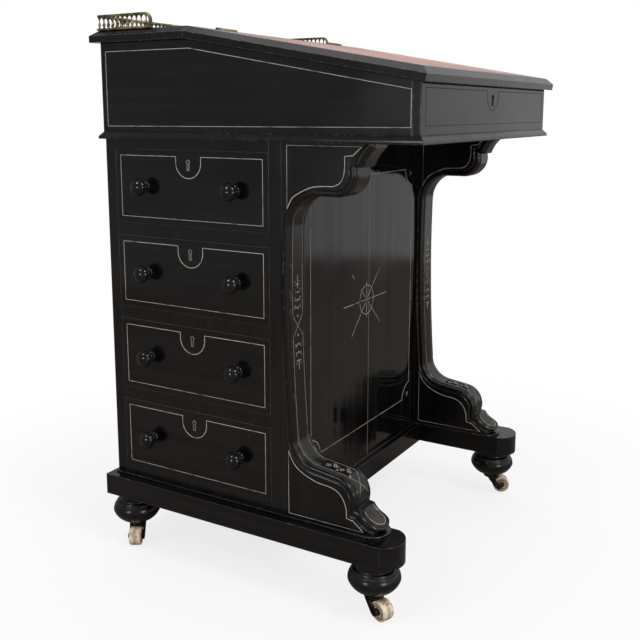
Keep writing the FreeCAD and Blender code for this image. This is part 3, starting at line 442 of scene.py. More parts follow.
def settle(mesh, merge=0.0, smooth=None):
    # joins doubled points, turns the faces outwards and shades the round ones smooth
    form = bmesh.new()
    form.from_mesh(mesh)
    if merge:
        bmesh.ops.remove_doubles(form, verts=form.verts, dist=merge)
    bmesh.ops.recalc_face_normals(form, faces=form.faces)
    form.to_mesh(mesh)
    form.free()
    if smooth is not None:
        mesh.shade_smooth()
        mesh.set_sharp_from_angle(angle=math.radians(smooth))
    mesh.update()
    return mesh


def modified(mesh, kind, inputs=(), **settings):
    # the mesh as a modifier leaves it, where inputs are a tree's own
    thing = linked("drawing", mesh)
    modifier = thing.modifiers.new("modifier", kind)
    for key, value in settings.items():
        setattr(modifier, key, value)
    for socket in modifier.node_group.interface.items_tree if inputs else ():
        if socket.name in inputs:
            modifier[socket.identifier] = inputs[socket.name]
    bpy.context.view_layer.update()
    result = bpy.data.meshes.new_from_object(thing.evaluated_get(bpy.context.evaluated_depsgraph_get()))
    bpy.data.objects.remove(thing)
    return result


def softened(mesh, width):
    # the mesh with its edges rounded over
    return settle(modified(mesh, "BEVEL", width=width, segments=2, limit_method="ANGLE"), smooth=40)


def metres(sizes):
    return [size * milli for size in sizes]


def scaled(points):
    return [(a * milli, b * milli) for a, b in points]


def ringOf(centre, radius, angles):
    # points on a circle, by angles in degrees
    return [(centre[0] + radius * math.cos(math.radians(angle)), centre[1] + radius * math.sin(math.radians(angle)))
            for angle in angles]


def arc(start, end, radius, steps):
    # points after start up to end, on an arc that turns left where the radius is positive
    first, last = Vector(start), Vector(end)
    chord = last - first
    reach = math.sqrt(max(radius * radius - chord.length_squared / 4, 0.0))
    centre = (first + last) / 2 + Vector((-chord.y, chord.x)).normalized() * math.copysign(reach, radius)
    begin, finish = (math.degrees(math.atan2(*reversed(spot - centre))) for spot in (first, last))
    turn = finish - begin
    if turn * radius < 0:
        turn += math.copysign(360, radius)
    return ringOf(centre, abs(radius), (begin + turn * step / steps for step in range(1, steps + 1)))


def traced(entries):
    # (a, b) is a point, and (a, b, radius, steps) an arc to it from the point before
    path = []
    for entry in entries:
        path += arc(path[-1], entry[:2], *entry[2:]) if len(entry) > 2 else [entry]
    return path


def curveThrough(points, steps=4):
    # a smooth line through the points
    run = [points[0]] + list(points) + [points[-1]]
    path = [points[0]]
    for index in range(1, len(run) - 2):
        before, here, after, beyond = (Vector(run[index + offset]) for offset in (-1, 0, 1, 2))
        for step in range(1, steps + 1):
            t = step / steps
            spot = 0.5 * ((2 * here) + (after - before) * t + (2 * before - 5 * here + 4 * after - beyond) * t * t
                          + (3 * here - before - 3 * after + beyond) * t ** 3)
            path.append((spot.x, spot.y))
    return path


def turned(outline, segments, place):
    # a shape spun about Z from (radius, height) points, then put in its place
    rows, faces, points = [], [], []
    for radius, height in outline:
        if radius < 1e-7:
            rows.append([len(points)] * segments)
            points.append((0, 0, height))
            continue
        rows.append(list(range(len(points), len(points) + segments)))
        for step in range(segments):
            angle = 2 * math.pi * step / segments
            points.append((radius * math.cos(angle), radius * math.sin(angle), height))
    for low, high in zip(rows, rows[1:]):
        for step in range(segments):
            after = (step + 1) % segments
            ring = [low[step], low[after], high[after], high[step]]
            faces.append([corner for index, corner in enumerate(ring) if corner not in ring[:index]])
    return [place @ Vector(point) for point in points], faces


def prism(outline, axis, low, high):
    # a flat outline drawn out along an axis
    count = len(outline)
    points = [(*spot[:axis], level, *spot[axis:]) for level in (low, high) for spot in outline]
    faces = [list(range(count)), list(range(2 * count - 1, count - 1, -1))]
    faces += [[index, index + count, (index + 1) % count + count, (index + 1) % count] for index in range(count)]
    return points, faces


def joined(name, parts, smooth=32):
    points, faces = [], []
    for some, few in parts:
        shift = len(points)
        points += some
        faces += [[shift + corner for corner in face] for face in few]
    return settle(newMesh(name, points, [], faces), smooth=smooth)


# turned feet, knobs and castor wheels

bunFoot = {
    "base": 0.037,
    "segments": 72,
    "outline": [
        (0, 0.0005), (0.015, 0), (0.016, 0.0004), (0.0385, 0.020, 0.0300, 18), (0.0347, 0.0325, 0.0208, 10),
        (0.0337, 0.0327), (0.0334, 0.0338), (0.0335, 0.0343), (0.0302, 0.0378, 0.0060, 6), (0.0288, 0.0386),
        (0.0284, 0.0400), (0.029, 0.0416), (0.029, 0.048), (0, 0.048)],
}
feet = []
for corner in corners:
    x, y, _ = joints["castor_swivel_" + corner]["pos_m"]
    place = Matrix.Translation((x, y, bunFoot["base"]))
    feet.append(turned(traced(bunFoot["outline"]), bunFoot["segments"], place))
newPiece("bun_feet_turned", joined("bunFeet", feet), "carcase", "footEbony", "bun_feet")

knob = {
    "segments": 40,
    "radius": 0.0135,
    "reach": 0.026,
    "outline": [
        (0, 0), (0.0100, 0), (0.0100, 0.0012), (0.0074, 0.0042, 0.0031, 5), (0.0064, 0.0044), (0.0056, 0.0054),
        (0.0056, 0.0074), (0.0078, 0.0100, -0.0034, 4), (0.0135, 0.0165, 0.0090, 8), (0.0093, 0.0232, 0.0085, 7),
        (0, 0.026, 0.0175, 7)],
}


def makeKnobs(node, body, sign, levels):
    # a pair at each level of the drawers, on the side that the sign tells
    low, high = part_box(node)
    face = low.x + knob["reach"] if sign < 0 else high.x - knob["reach"]
    lean = Matrix.Rotation(math.radians(90 * sign), 4, "Y")
    made = []
    for y in (low.y + knob["radius"], high.y - knob["radius"]):
        for number in levels:
            z = sum(corner.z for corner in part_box("drawer_%d_knobs" % number)) / 2
            made.append(turned(traced(knob["outline"]), knob["segments"], Matrix.Translation((face, y, z)) @ lean))
    newPiece(node + "_turned", joined(node, made), body, "knobEbony", node)


for number in drawers:
    makeKnobs("drawer_%d_knobs" % number, "drawer_%d" % number, -1, [number])
makeKnobs("dummy_knobs", "carcase", 1, drawers)
print("turned feet and knobs made")

castorWheel = {
    "segments": 56,
    "half": 0.0095,  # of the width
    "side": [  # radius, depth below the side and grime, from the bore outwards
        (0.00256, 0.0012, 1.0), (0.0046, 0.0012, 1.0), (0.0050, 0.0006, 1.0), (0.0062, 0.0004, 1.0), (0.0064, 0, 0.0),
        (0.0074, 0, 0.0), (0.0076, 0.0006, 1.0), (0.0094, 0.0006, 1.0), (0.0096, 0, 0.0), (0.0104, 0, 0.0),
        (0.0106, 0.0003, 1.0), (0.0118, 0.0003, 1.0), (0.0120, 0, 0.1)],
    "rim": (0.015, 0.0028),  # radius and rounding
    "tread": [(0.0040, 0.0), (0.0022, 0.45), (0.0014, 0.1), (0.0005, 0.6)],  # distance from the middle and grime
}


def wheelOutline():
    # (radius, across, grime) from one side of the bore to the other
    half = castorWheel["half"]
    wide, curve = castorWheel["rim"]
    near = [(r, half - depth, grime) for r, depth, grime in castorWheel["side"]]
    near += [(*spot, 0.0) for spot in traced([(wide - curve, half), (wide, half - curve, -curve, 8)])]
    near += [(wide, z, grime) for z, grime in castorWheel["tread"]]
    return near + [(r, -z, grime) for r, z, grime in reversed(near)]


for corner in corners:
    node = "castor_wheel_" + corner
    low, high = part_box(node)
    axis = Vector(joints["wheel_spin_" + corner]["axis"])
    place = Matrix.Translation((low + high) / 2) @ axis.to_track_quat("Z", "Y").to_matrix().to_4x4()
    outline = wheelOutline()
    outline.append(outline[0])
    points, faces = turned([spot[:2] for spot in outline], castorWheel["segments"], place)
    mesh = newMesh(node, points, [], faces)
    grime = mesh.attributes.new("grime", "FLOAT", "POINT")
    for index, entry in enumerate(grime.data):
        entry.value = outline[index // castorWheel["segments"]][2]
    settle(mesh, merge=1e-6, smooth=50)
    newPiece(node + "_china", mesh, node, "stainedPorcelain", node)
print("castor wheels made")

castorHorn = {
    "crown": (14.0, 30.7, 33.7),  # radius, underside and top
    "chamfer": (0.5, 0.6, 0.9),
    "arms": (10.0, 12.6),  # from and to, across the axle
    "front": [(-8.5, 31.4), (-5.6, 26.2), (-1.2, 20.6), (3.4, 14.6), (7.6, 9.4), (12.6, 6.6), (17.0, 8.4)],
    "rear": [(14.6, 18.6), (10.6, 20.6), (7.4, 24.6), (6.2, 31.4)],
    "axleAt": (18.0, 15.0),  # behind the swivel, and above the floor
    "axle": (2.5, 3.2, 13.2),  # rod, rivet head and its end
    "eye": 3.8,  # radius of the arm's end round the axle
    "eyeTurn": range(288, 415, 18),
    "rivet": (0.4, 0.1, 0.15, 0.8),  # sunk, upright and domed parts of its head, and the dome's share of its radius
    "segments": (48, 24, 20),  # round the crown, the rod and the rivets
    "web": (2.2, 16.4, 31.2),  # thickness, the least distance from the axle and the top
    "round": 0.0006,
}


def hornParts():
    # in millimetres, trailing towards +X
    (radius, under, top), (lower, rise, upper) = pick(castorHorn, "crown chamfer")
    (inner, outer), axle, (rod, head, end), (thick, clear, cut) = pick(castorHorn, "arms axleAt axle web")
    crown = [(0, under), (radius - lower, under), (radius, under + rise), (radius, top - upper), (radius - upper, top),
             (0, top)]
    arm = curveThrough(castorHorn["front"], 3) + ringOf(axle, castorHorn["eye"], castorHorn["eyeTurn"])
    arm += curveThrough(castorHorn["rear"], 3)
    web = ringOf(axle, clear, range(112, 164, 6)) + ringOf(axle, clear + thick, range(160, 110, -6))
    across = Matrix.Translation((axle[0], 0, axle[1])) @ Matrix.Rotation(math.radians(90), 4, "X")
    (sunk, lip, dome, share), (many, some, few) = pick(castorHorn, "rivet segments")
    rivet = [(0, outer - sunk), (head, outer - sunk), (head, outer + lip), (head * share, end - dome), (0, end)]
    return [
        turned(crown, many, Matrix.Identity(4)), prism(arm, 1, inner, outer), prism(arm, 1, -outer, -inner),
        prism([(u, min(z, cut)) for u, z in web], 1, -inner - 0.5, inner + 0.5),
        turned([(0, -outer), (rod, -outer), (rod, outer), (0, outer)], some, across),
        turned([(r, -z) for r, z in rivet], few, across), turned(rivet, few, across)]


for corner in corners:
    node = "castor_horn_" + corner
    x, y, _ = joints["castor_swivel_" + corner]["pos_m"]
    low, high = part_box("castor_wheel_" + corner)
    heading = math.atan2((low.y + high.y) / 2 - y, (low.x + high.x) / 2 - x)
    place = Matrix.Translation((x, y, 0)) @ Matrix.Rotation(heading, 4, "Z") @ Matrix.Scale(milli, 4)
    parts = [([place @ Vector(point) for point in points], faces) for points, faces in hornParts()]
    mesh = softened(joined(node, parts, smooth=None), castorHorn["round"])
    newPiece(node + "_cast", mesh, node, "castorBrass", node)
print("castor horns made")


# bracket legs, with a quirked bead and a rib along both edges of the scroll

bracketLeg = {
    "half": 25.0,  # of the thickness
    "band": 14.4,  # half of the flat middle band
    "mouldings": [  # across, inset and radius, the angles turned through, and the quirk beside it
        (20.6, 5.2, 3.9, (60, 40, 20, 0, -20, -40, -60, -80, -100, -115, -130), (17.7, 3.0)),
        (16.6, 1.9, 1.0, (20, -15, -50, -90, -130, -160), (15.4, 2.2))],
    "panelInset": 11.0,
    "top": 546.0,
    "step": 3.0,  # about how far apart the points along the scroll are
    "toeAt": 16,  # the outline's point where the toe's slope starts
    "toeLean": (0.435, -0.9),  # how the slope moves for each unit of inset
    "toeColumns": 14,  # points round the toe's end
}


def legOutline(inset):
    # (reach towards the writer, height, radius of the stretch after it), in millimetres
    top = bracketLeg["top"]
    lean, drop = (share * inset for share in bracketLeg["toeLean"])
    return [
        (0, 0, 0), (0, top, 0), (inset - 142, top, 0), (inset - 142, top - 6 + inset, -55 - inset),
        (inset - 124, top - 31.5 + inset, 0), (inset - 116, top - 32.3 + inset, 0),
        (inset - 116, top - 33.2, 33 - inset), (-87, top - 73 + inset, 0),
        (-47, top - 73 + inset, -48.7 - inset), (inset - 11, top - 120.4, -2900),
        (inset - 18.2, 124.7, -39.3 - inset), (-48, 84 - inset, 0), (-89, 78.4 - inset, 35.5 - inset),
        (inset - 120, 34.3, 0), (inset - 120, 33.2 - inset, 0), (inset - 128, 32 - inset, -28 - inset),
        (lean - 141, 19 + drop, 0), (lean - 151, 14.2 + drop, 12.9 - inset), (inset - 158.3, 2.6, 0),
        (inset - 158.3, 0, 0),
    ]


def between(first, second, count):
    return [tuple(a + (b - a) * step / count for a, b in zip(first, second)) for step in range(1, count)]


def legRow(inset):
    # the outline, cut off at the toe, where the mouldings turn round to meet
    plain, outline = (legOutline(size)[:bracketLeg["toeAt"] + 1] for size in (0, inset))
    row = []
    for index, (y, z, radius) in enumerate(outline[:-1]):
        row.append((y, z))
        run = math.dist(plain[index][:2], plain[index + 1][:2])
        count = 1 if index < 2 else max(1, math.ceil(run / bracketLeg["step"]))
        after = outline[index + 1][:2]
        row += arc((y, z), after, radius, count)[:-1] if radius else between((y, z), after, count)
    row.append(outline[-1][:2])
    # where the cove would rise past the top of the leg, it starts at the top
    top = bracketLeg["top"]
    over = [index for index in range(2, len(row)) if row[index][1] > top]
    if over:
        first, second = row[over[-1]], row[over[-1] + 1]
        share = (first[1] - top) / (first[1] - second[1])
        row[2:over[-1] + 1] = [(first[0] + (second[0] - first[0]) * share, top)] * (over[-1] - 1)
    return row


def legSection():
    # (across from the middle, inset) from one side face to the other
    half, band, panel = pick(bracketLeg, "half band panelInset")
    side = [(half, panel), (half - 0.7, panel - 0.6), (half - 1.1, panel - 1.6), (half - 2.1, panel - 1.8)]
    for middle, depth, radius, turns, quirk in bracketLeg["mouldings"]:
        side += ringOf((middle, depth), radius, turns) + [quirk]
    side += [(band + 0.7, 0.6), (band, 0.0)]
    return side + [(-across, inset) for across, inset in reversed(side)]


def toeSpot(along, inset):
    # (reach, height) on the toe, so far past the start of its slope: down the slope, round the nose and down
    start, (noseY, noseZ, bend), (frontY, frontZ, _) = legOutline(0)[bracketLeg["toeAt"]:bracketLeg["toeAt"] + 3]
    flat = math.dist(start[:2], (noseY, noseZ))
    if along <= flat:
        return tuple(a + (b - a) * along / flat + lean * inset
                     for a, b, lean in zip(start, (noseY, noseZ), bracketLeg["toeLean"]))
    centreY = frontY + bend
    angle = math.atan2(noseZ - frontZ, noseY - centreY) + (along - flat) / bend
    if angle > math.pi:
        return frontY + inset, frontZ - (angle - math.pi) * bend
    return centreY + (bend - inset) * math.cos(angle), frontZ + (bend - inset) * math.sin(angle)


def makeLeg(name, node):
    low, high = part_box(node)
    middle = (low.x + high.x) / 2
    section = legSection()
    columns = bracketLeg["toeColumns"]
    points, faces, size = [], [], 0
    for across, inset in section:
        row = [(across, y, z) for y, z in legRow(inset)]
        for step in range(1, columns + 1):
            turn = math.pi / 2 * step / columns
            row.append((across * math.cos(turn), *toeSpot(abs(across) * math.sin(turn), inset)))
        size = len(row)
        points += [(middle + x * milli, high.y + y * milli, low.z + z * milli) for x, y, z in row]
    for start in range(0, (len(section) - 1) * size, size):
        faces += [[index, index + 1, index + size + 1, index + size] for index in range(start, start + size - 1)]
    # the upright faces below the outer edges, and the underside
    last = (len(section) - 1) * size
    toe = size - columns - 1
    feet = {}
    for first in (0, last):
        for index in range(toe, size):
            feet[first, index] = len(points)
            points.append((*points[first + index][:2], low.z))
        faces.append(list(range(first, first + toe + 1)) + [feet[first, toe]])
        faces += [[first + index, first + index + 1, feet[first, index + 1], feet[first, index]]
                  for index in range(toe, size - 1)]
    under = [level * size for level in range(len(section))] + [feet[last, index] for index in range(toe, size)]
    faces.append(under + [feet[0, index] for index in range(size - 2, toe - 1, -1)])
    mesh = newMesh(name, points, [], faces)
    settle(mesh, merge=1e-6, smooth=28)
    newPiece(name, mesh, "carcase", "legEbony", node)


for side in sides:
    makeLeg(side + "_leg_carved", side + "_bracket_leg")
print("bracket legs made")


# the thin fillet under the pedestal and the legs, rounded under each toe

baseFillet = {
    "tongue": 0.056,
    "proud": 0.003,
    "round": 0.0007,
}
low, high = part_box("base_fillet")
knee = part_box("knee_panel")[0].y - baseFillet["proud"]
wide = baseFillet["tongue"]
bend = (wide / 2 + 1e-6, 20)
turn = low.y + wide / 2
outline = traced([
    (high.x, high.y), (low.x, high.y), (low.x, turn), (low.x + wide, turn, *bend), (low.x + wide, knee),
    (high.x - wide, knee), (high.x - wide, turn), (high.x, turn, *bend)])
mesh = joined("baseFillet", [prism(outline, 2, low.z, high.z)], smooth=None)
newPiece("base_fillet_rounded", softened(mesh, baseFillet["round"]), "carcase", "plinthEbony", "base_fillet")


# brass gallery

gallery = {
    "inset": 0.012,
    "reach": 0.103,
    "pitch": 0.0093,
    "strip": (0.007, 0.003),  # width and height
    "rail": (0.005, 0.0036),
    "spindle": 0.0165,
    "segments": 10,
    "spindleOutline": [  # radius, and share of the height
        (0, 0), (0.0024, 0), (0.0019, 0.07), (0.0010, 0.15), (0.0015, 0.23), (0.0024, 0.34), (0.0024, 0.40),
        (0.0015, 0.49), (0.0010, 0.56), (0.0010, 0.72), (0.0014, 0.84), (0.0021, 0.92), (0.0031, 1.0), (0, 1.0)],
    "end": (0.012, 0.012),  # how far the top rail's end drops and reaches in its bend
    "bury": 0.0006,  # how far a spindle under the bend goes into the rail
    "round": 0.0007,
}
ridgeAt = Vector(joints["lid_hinge"]["pos_m"])
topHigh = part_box("top_board")[1]
halfWide, back = topHigh.x - gallery["inset"], topHigh.y - gallery["inset"]  # of the gallery's middle line
front = back - gallery["reach"]


def slab(x, y, z):
    # a box by its two ends along each axis
    return prism([(x[0], y[0]), (x[1], y[0]), (x[1], y[1]), (x[0], y[1])], 2, *z)


def railParts():
    half, (railWide, railHigh) = gallery["strip"][0] / 2, gallery["rail"]
    drop, turn = gallery["end"]
    strip = (ridgeAt.z, ridgeAt.z + gallery["strip"][1])
    under = strip[1] + gallery["spindle"]
    top = under + railHigh
    inner = front + railHigh
    side = traced([
        (front, strip[1]), (inner, strip[1]), (inner, top - drop),
        (front + turn, under, railHigh - turn, 10), (back + railWide / 2, under),
        (back + railWide / 2, top), (front + turn, top), (front, top - drop, turn, 10)])
    parts = []
    for middle in (-halfWide, halfWide):
        parts.append(slab((middle - half, middle + half), (front, back + half), strip))
        parts.append(prism(side, 0, middle - railWide / 2, middle + railWide / 2))
    for level, wide in ((strip, half), ((under, top), railWide / 2)):
        parts.append(slab((wide - halfWide, halfWide - wide), (back - wide, back + wide), level))
    return parts


railMesh = softened(joined("galleryRails", railParts(), smooth=None), gallery["round"])
newPiece("gallery_rails_cast", railMesh, "carcase", "galleryBrass", "gallery_rails")


def newTree(name, sizes):
    # a geometry tree with a mesh in and out, a finish and a named input for each size
    tree = bpy.data.node_groups.new(name, "GeometryNodeTree")
    sizes = {"Geometry": "Geometry", **sizes, "Finish": "Material"}
    for word, kind in sizes.items():
        tree.interface.new_socket(word, in_out="INPUT", socket_type="NodeSocket" + kind)
    tree.interface.new_socket("Geometry", in_out="OUTPUT", socket_type="NodeSocketGeometry")
    return tree, tree.nodes.new("NodeGroupInput").outputs


def finishTree(tree, entry, shape):
    real = addNode(tree, "GeometryNodeRealizeInstances", {"Geometry": shape.outputs[0]})
    painted = addNode(tree, "GeometryNodeSetMaterial", {"Geometry": real.outputs[0], "Material": entry["Finish"]})
    addNode(tree, "NodeGroupOutput", {"Geometry": painted.outputs[0]})
    return tree


def spindleTree():
    tree, entry = newTree("spindleRow", {"Spindle": "Object", "Height": "Float"})
    shape = addNode(tree, "GeometryNodeObjectInfo", {"Object": entry["Spindle"]})
    tall = addNode(tree, "ShaderNodeCombineXYZ", {0: 1.0, 1: 1.0, 2: entry["Height"]})
    return finishTree(tree, entry, addNode(tree, "GeometryNodeInstanceOnPoints", {
        "Points": entry["Geometry"], "Instance": shape.outputs["Geometry"], "Scale": tall.outputs[0]}))


def makeSpindles():
    # the pattern is a metre tall, and the tree brings it to its height
    pitch, (_, turn), tall, (_, thick), reach = pick(gallery, "pitch end spindle rail reach")
    base = ridgeAt.z + gallery["strip"][1]
    sideCount = int((reach - turn) / pitch)
    rearCount = round(2 * halfWide / pitch)
    full = [(-halfWide + index * 2 * halfWide / rearCount, back, base) for index in range(rearCount + 1)]
    y = back - (sideCount + 1) * pitch
    short = [(x, y, base) for x in (-halfWide, halfWide)]
    for x in (-halfWide, halfWide):
        full += [(x, back - index * pitch, base) for index in range(1, sideCount + 1)]
    reach = front + turn - y
    bend = turn - thick
    under = tall - bend + math.sqrt(max(bend ** 2 - reach * reach, 0.0)) + gallery["bury"]
    outline = turned(gallery["spindleOutline"], gallery["segments"], Matrix.Identity(4))
    shape = linked("spindle_pattern", joined("spindleShape", [outline], smooth=50))
    tree = spindleTree()
    whole = bmesh.new()
    for places, height in ((full, tall), (short, under)):
        inputs = {"Spindle": shape, "Height": height, "Finish": finishes["galleryBrass"]}
        result = modified(newMesh("spindlePlaces", places, [], []), "NODES", inputs, node_group=tree)
        whole.from_mesh(result)
    bpy.data.objects.remove(shape)
    whole.to_mesh(result)
    whole.free()
    settle(result, smooth=50)
    newPiece("gallery_spindles_turned", result, "carcase", "galleryBrass", "gallery_spindles")


makeSpindles()
print("gallery made")


# incised lines: drawn flat, given their width by one tree and then laid on a surface

incised = {
    "width": 0.00105,
    "depth": 0.0003,
    "detail": 0.0008,
    "film": 0.0001,  # depth of a darkened ground
    "brow": 0.38,  # share of its depth where a bowed dip turns to its point
    "dipSteps": (6, 18),  # of a bowed dip's halves and of a round one
}


def lineTree():
    tree, entry = newTree("incisedLine", {"Width": "Float", "Depth": "Float"})
    curve = addNode(tree, "GeometryNodeMeshToCurve", {"Mesh": entry["Geometry"]})
    level = addNode(tree, "GeometryNodeSetCurveNormal", {"Curve": curve.outputs[0]}, mode="Z_UP")
    section = addNode(tree, "GeometryNodeCurvePrimitiveQuadrilateral", {
        "Width": entry["Width"], "Height": entry["Depth"]}, mode="RECTANGLE")
    return finishTree(tree, entry, addNode(tree, "GeometryNodeCurveToMesh", {
        "Curve": level.outputs[0], "Profile Curve": section.outputs[0], "Fill Caps": True}))


incisedTree = lineTree()


def incise(name, paths, surface, body="carcase", finish="giltLine", width=incised["width"], depth=incised["depth"]):
    # paths are (points, closed) in the surface's own two directions
    points, edges = [], []
    for path, closed in paths:
        start = len(points)
        points += [(*spot, 0.0) for spot in path]
        edges += [(index, index + 1) for index in range(start, len(points) - 1)]
        if closed:
            edges.append((len(points) - 1, start))
    inputs = {"Width": width, "Depth": depth, "Finish": finishes[finish]}
    mesh = modified(newMesh(name, points, edges, []), "NODES", inputs, node_group=incisedTree)
    for vertex in mesh.vertices:
        vertex.co = surface(*vertex.co)
    settle(mesh)
    newPiece(name, mesh, body, finish)


def faceOf(box, axis, sign):
    # an upright face of a box, drawn on across and up
    at = box[sign > 0][axis]
    return lambda a, b, lift: Vector((at + sign * lift, a, b) if axis == 0 else (a, at + sign * lift, b))


def dipped(left, right, low, high, half, depth, bow=0.0):
    # a frame whose top line dips round the keyhole, in an arc, or to a point by the bow's share of the depth
    middle = (left + right) / 2
    few, many = incised["dipSteps"]
    if bow:
        turn = (-depth * bow, few)
        brow = high - depth * incised["brow"]
        dip = traced([(middle + half, brow), (middle, high - depth, *turn), (middle - half, brow, *turn)])
    else:
        brow = high - (depth - half)
        dip = arc((middle + half, brow), (middle - half, brow), -half, many)
    return [(left, low), (right, low), (right, high), (middle + half, high), *dip, (middle - half, high),
            (left, high)], True


def framed(left, right, low, high, inset):
    left, right, low, high = left + inset, right - inset, low + inset, high - inset
    return [(left, low), (right, low), (right, high), (left, high)], True


drawerLines = {
    "inset": 0.010,
    "dip": (0.0235, 0.0320),  # half its width, and its depth
}


def drawerLine(box):
    low, high = box
    inset = drawerLines["inset"]
    return dipped(low.y + inset, high.y - inset, low.z + inset, high.z - inset, *drawerLines["dip"])


fronts = [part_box("drawer_%d_front" % number) for number in drawers]
for number, box in zip(drawers, fronts):
    incise("drawer_%d_line" % number, [drawerLine(box)], faceOf(box, 0, -1), "drawer_%d" % number)
incise("dummy_front_lines", [drawerLine(box) for box in fronts], faceOf(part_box("dummy_drawer_fronts"), 0, 1))

boxLines = {
    "side": [(259, 799.5), (97.5, 799.5), (-254.5, 737.3), (-254.5, 689.5), (259, 687.5)],
    "frontInset": 0.0135,
    "frontRise": (0.0125, 0.0605),  # of its low and high lines above the front's foot
    "frontWidth": 0.0011,
    "shield": (0.0235, 0.029, 1.05),  # half its width, its depth and its bow
    "dustAndShade": 0.0022,  # a painted shadow: the dark line under the lid's overhang, where the lid shuts on the front
    "shadowLineInset": 0.001,
}
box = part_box("box_sides")
for name, sign in (("box_left_line", -1), ("box_right_line", 1)):
    incise(name, [(scaled(boxLines["side"]), True)], faceOf(box, 0, sign))
low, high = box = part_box("box_front")
inset, (foot, head) = boxLines["frontInset"], boxLines["frontRise"]
shield = dipped(low.x + inset, high.x - inset, low.z + foot, low.z + head, *boxLines["shield"])
incise("box_front_line", [shield], faceOf(box, 1, -1), finish="fadedLine", width=boxLines["frontWidth"])
# painted shadow: a dark strip along the top of the front, just under the lid's overhang
inset, dustAndShade = boxLines["shadowLineInset"], boxLines["dustAndShade"]
level = min(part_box("lid_board")[0].z, high.z) - dustAndShade / 2
incise("box_front_dust", [([(low.x + inset, level), (high.x - inset, level)], False)], faceOf(box, 1, -1),
       "carcase", "sootyGround", dustAndShade, incised["film"])

panelLines = {
    "half": 0.1775,
    "low": 0.181,
    "high": 0.608,
    "corner": [(0, 28), (7, 28), (7, 26.2), (26.2, 7, -27.1, 8), (28, 7), (28, 0)],  # stepped, from the corner point
    "sprig": (0.002, 0.010, 0.0050),  # distance from the corner, length and size
    "starAt": (0.004, 0.399),
    "starRadius": 0.0245,
    "starDots": (0.0026, 0.0042, 1.04),  # round the ring and in the middle, and the ring's share of the radius
    "spokes": (0.005, 0.9),  # inside the ring, from here to this share of the radius
    "rays": [  # angle, and where each ray starts and ends
        (0, 0.028, 0.072), (45, 0.029, 0.066), (90, 0.027, 0.030), (136, 0.060, 0.072),
        (180, 0.027, 0.080), (226, 0.029, 0.074), (270, 0.0275, 0.0305), (316, 0.028, 0.068)],
}


strokes = {  # shares of each one's size
    "petals": (0.78, 0.5, 0.52),  # how far out they stand, and the sizes of the eye and of a petal
    "rim": [(0, 0), (0.3, 0.8), (0.55, 1), (0.8, 0.6), (1, 0), (0.8, -0.6), (0.55, -1), (0.3, -0.8)],  # of a leaf
    "pairs": (0.6, 0.4),  # where up the stem the first pair of wings stands, and the room past the last
    "wings": (1.05, 0.16),  # length of the first pair, and how much shorter each next one is
    "turn": (28, 125),  # degrees between stem and wing, and how far the wing bends
    "berry": (0.55, 0.62),  # on and aside from the wings' root
    "berrySize": 0.0011,
    "wingSteps": 7,
    "tip": (8, range(6, 10)),  # the stem's steps, and the ones that show
}


def dot(spot, size):
    return ringOf(spot, size / 2, (180, 90, 0, -90)), True


def flower(spot, size, turn):
    # five petals round an eye
    out, eye, petal = (share * size for share in strokes["petals"])
    return [dot(spot, eye)] + [dot(at, petal) for at in ringOf(spot, out, (turn + 72 * step for step in range(5)))]


def ahead(spot, angle, distance, aside=0.0):
    # from a spot, so far in a direction and so far to its left
    (a, b), (x, y) = spot, ringOf((0, 0), 1.0, [angle])[0]
    return a + x * distance - y * aside, b + y * distance + x * aside


def leaf(root, angle, length, width):
    return [ahead(root, angle, length * share, width * swell / 2) for share, swell in strokes["rim"]], True


def wing(root, angle, length, turn):
    # an open stroke that bends over as it goes out
    points, steps = [root], strokes["wingSteps"]
    for step in range(steps):
        points.append(ahead(points[-1], angle + turn * step / steps, length / steps))
    return points, False


def sprig(root, angle, length, pairs, size):
    # paired wings and small berries up a stem that shows only at its tip
    steps, shown = strokes["tip"]
    paths = [([ahead(root, angle, length * step / steps) for step in shown], False)]
    (first, past), (longest, less), (splay, bend), (on, aside) = pick(strokes, "pairs wings turn berry")
    for index in range(pairs):
        spot = ahead(root, angle, length * (index + first) / (pairs + past))
        for lean in (1, -1):
            paths.append(wing(spot, angle + splay * lean, size * (longest - less * index), bend * lean))
            paths.append(dot(ahead(spot, angle, size * on, lean * size * aside), strokes["berrySize"]))
    return paths


def panelPaths():
    half, low, high, corner, (away, length, size) = pick(panelLines, "half low high corner sprig")
    corner = scaled(traced(corner))
    border = [(a - half, low + b) for a, b in corner] + [(half - a, low + b) for a, b in reversed(corner)]
    border += [(half - a, high - b) for a, b in corner] + [(a - half, high - b) for a, b in reversed(corner)]
    x, low, high = half - away, low + away, high - away
    sprigs = []
    for root, angle in (((-x, low), 45), ((x, low), 135), ((x, high), 225), ((-x, high), 315)):
        sprigs += sprig(root, angle, length, 1, size)
    return [(border, True)], sprigs


def starPaths():
    centre, radius, (small, large, out), (near, far) = pick(panelLines, "starAt starRadius starDots spokes")
    paths = [(ringOf(centre, radius, range(0, 360, 10)), True)]
    for angle, *run in panelLines["rays"]:
        for start, end in ((near, radius * far), run):
            paths.append(([ahead(centre, angle, start), ahead(centre, angle, end)], False))
        paths.append(dot(ahead(centre, angle, radius * out), small))
    return paths + [dot(centre, large)]


kneeFace = faceOf(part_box("knee_panel"), 1, -1)
outline, sprigs = panelPaths()
incise("knee_panel_line", outline, kneeFace)
incise("knee_panel_star", starPaths(), kneeFace, width=incised["detail"])
incise("knee_panel_sprigs", sprigs, kneeFace, width=incised["detail"])

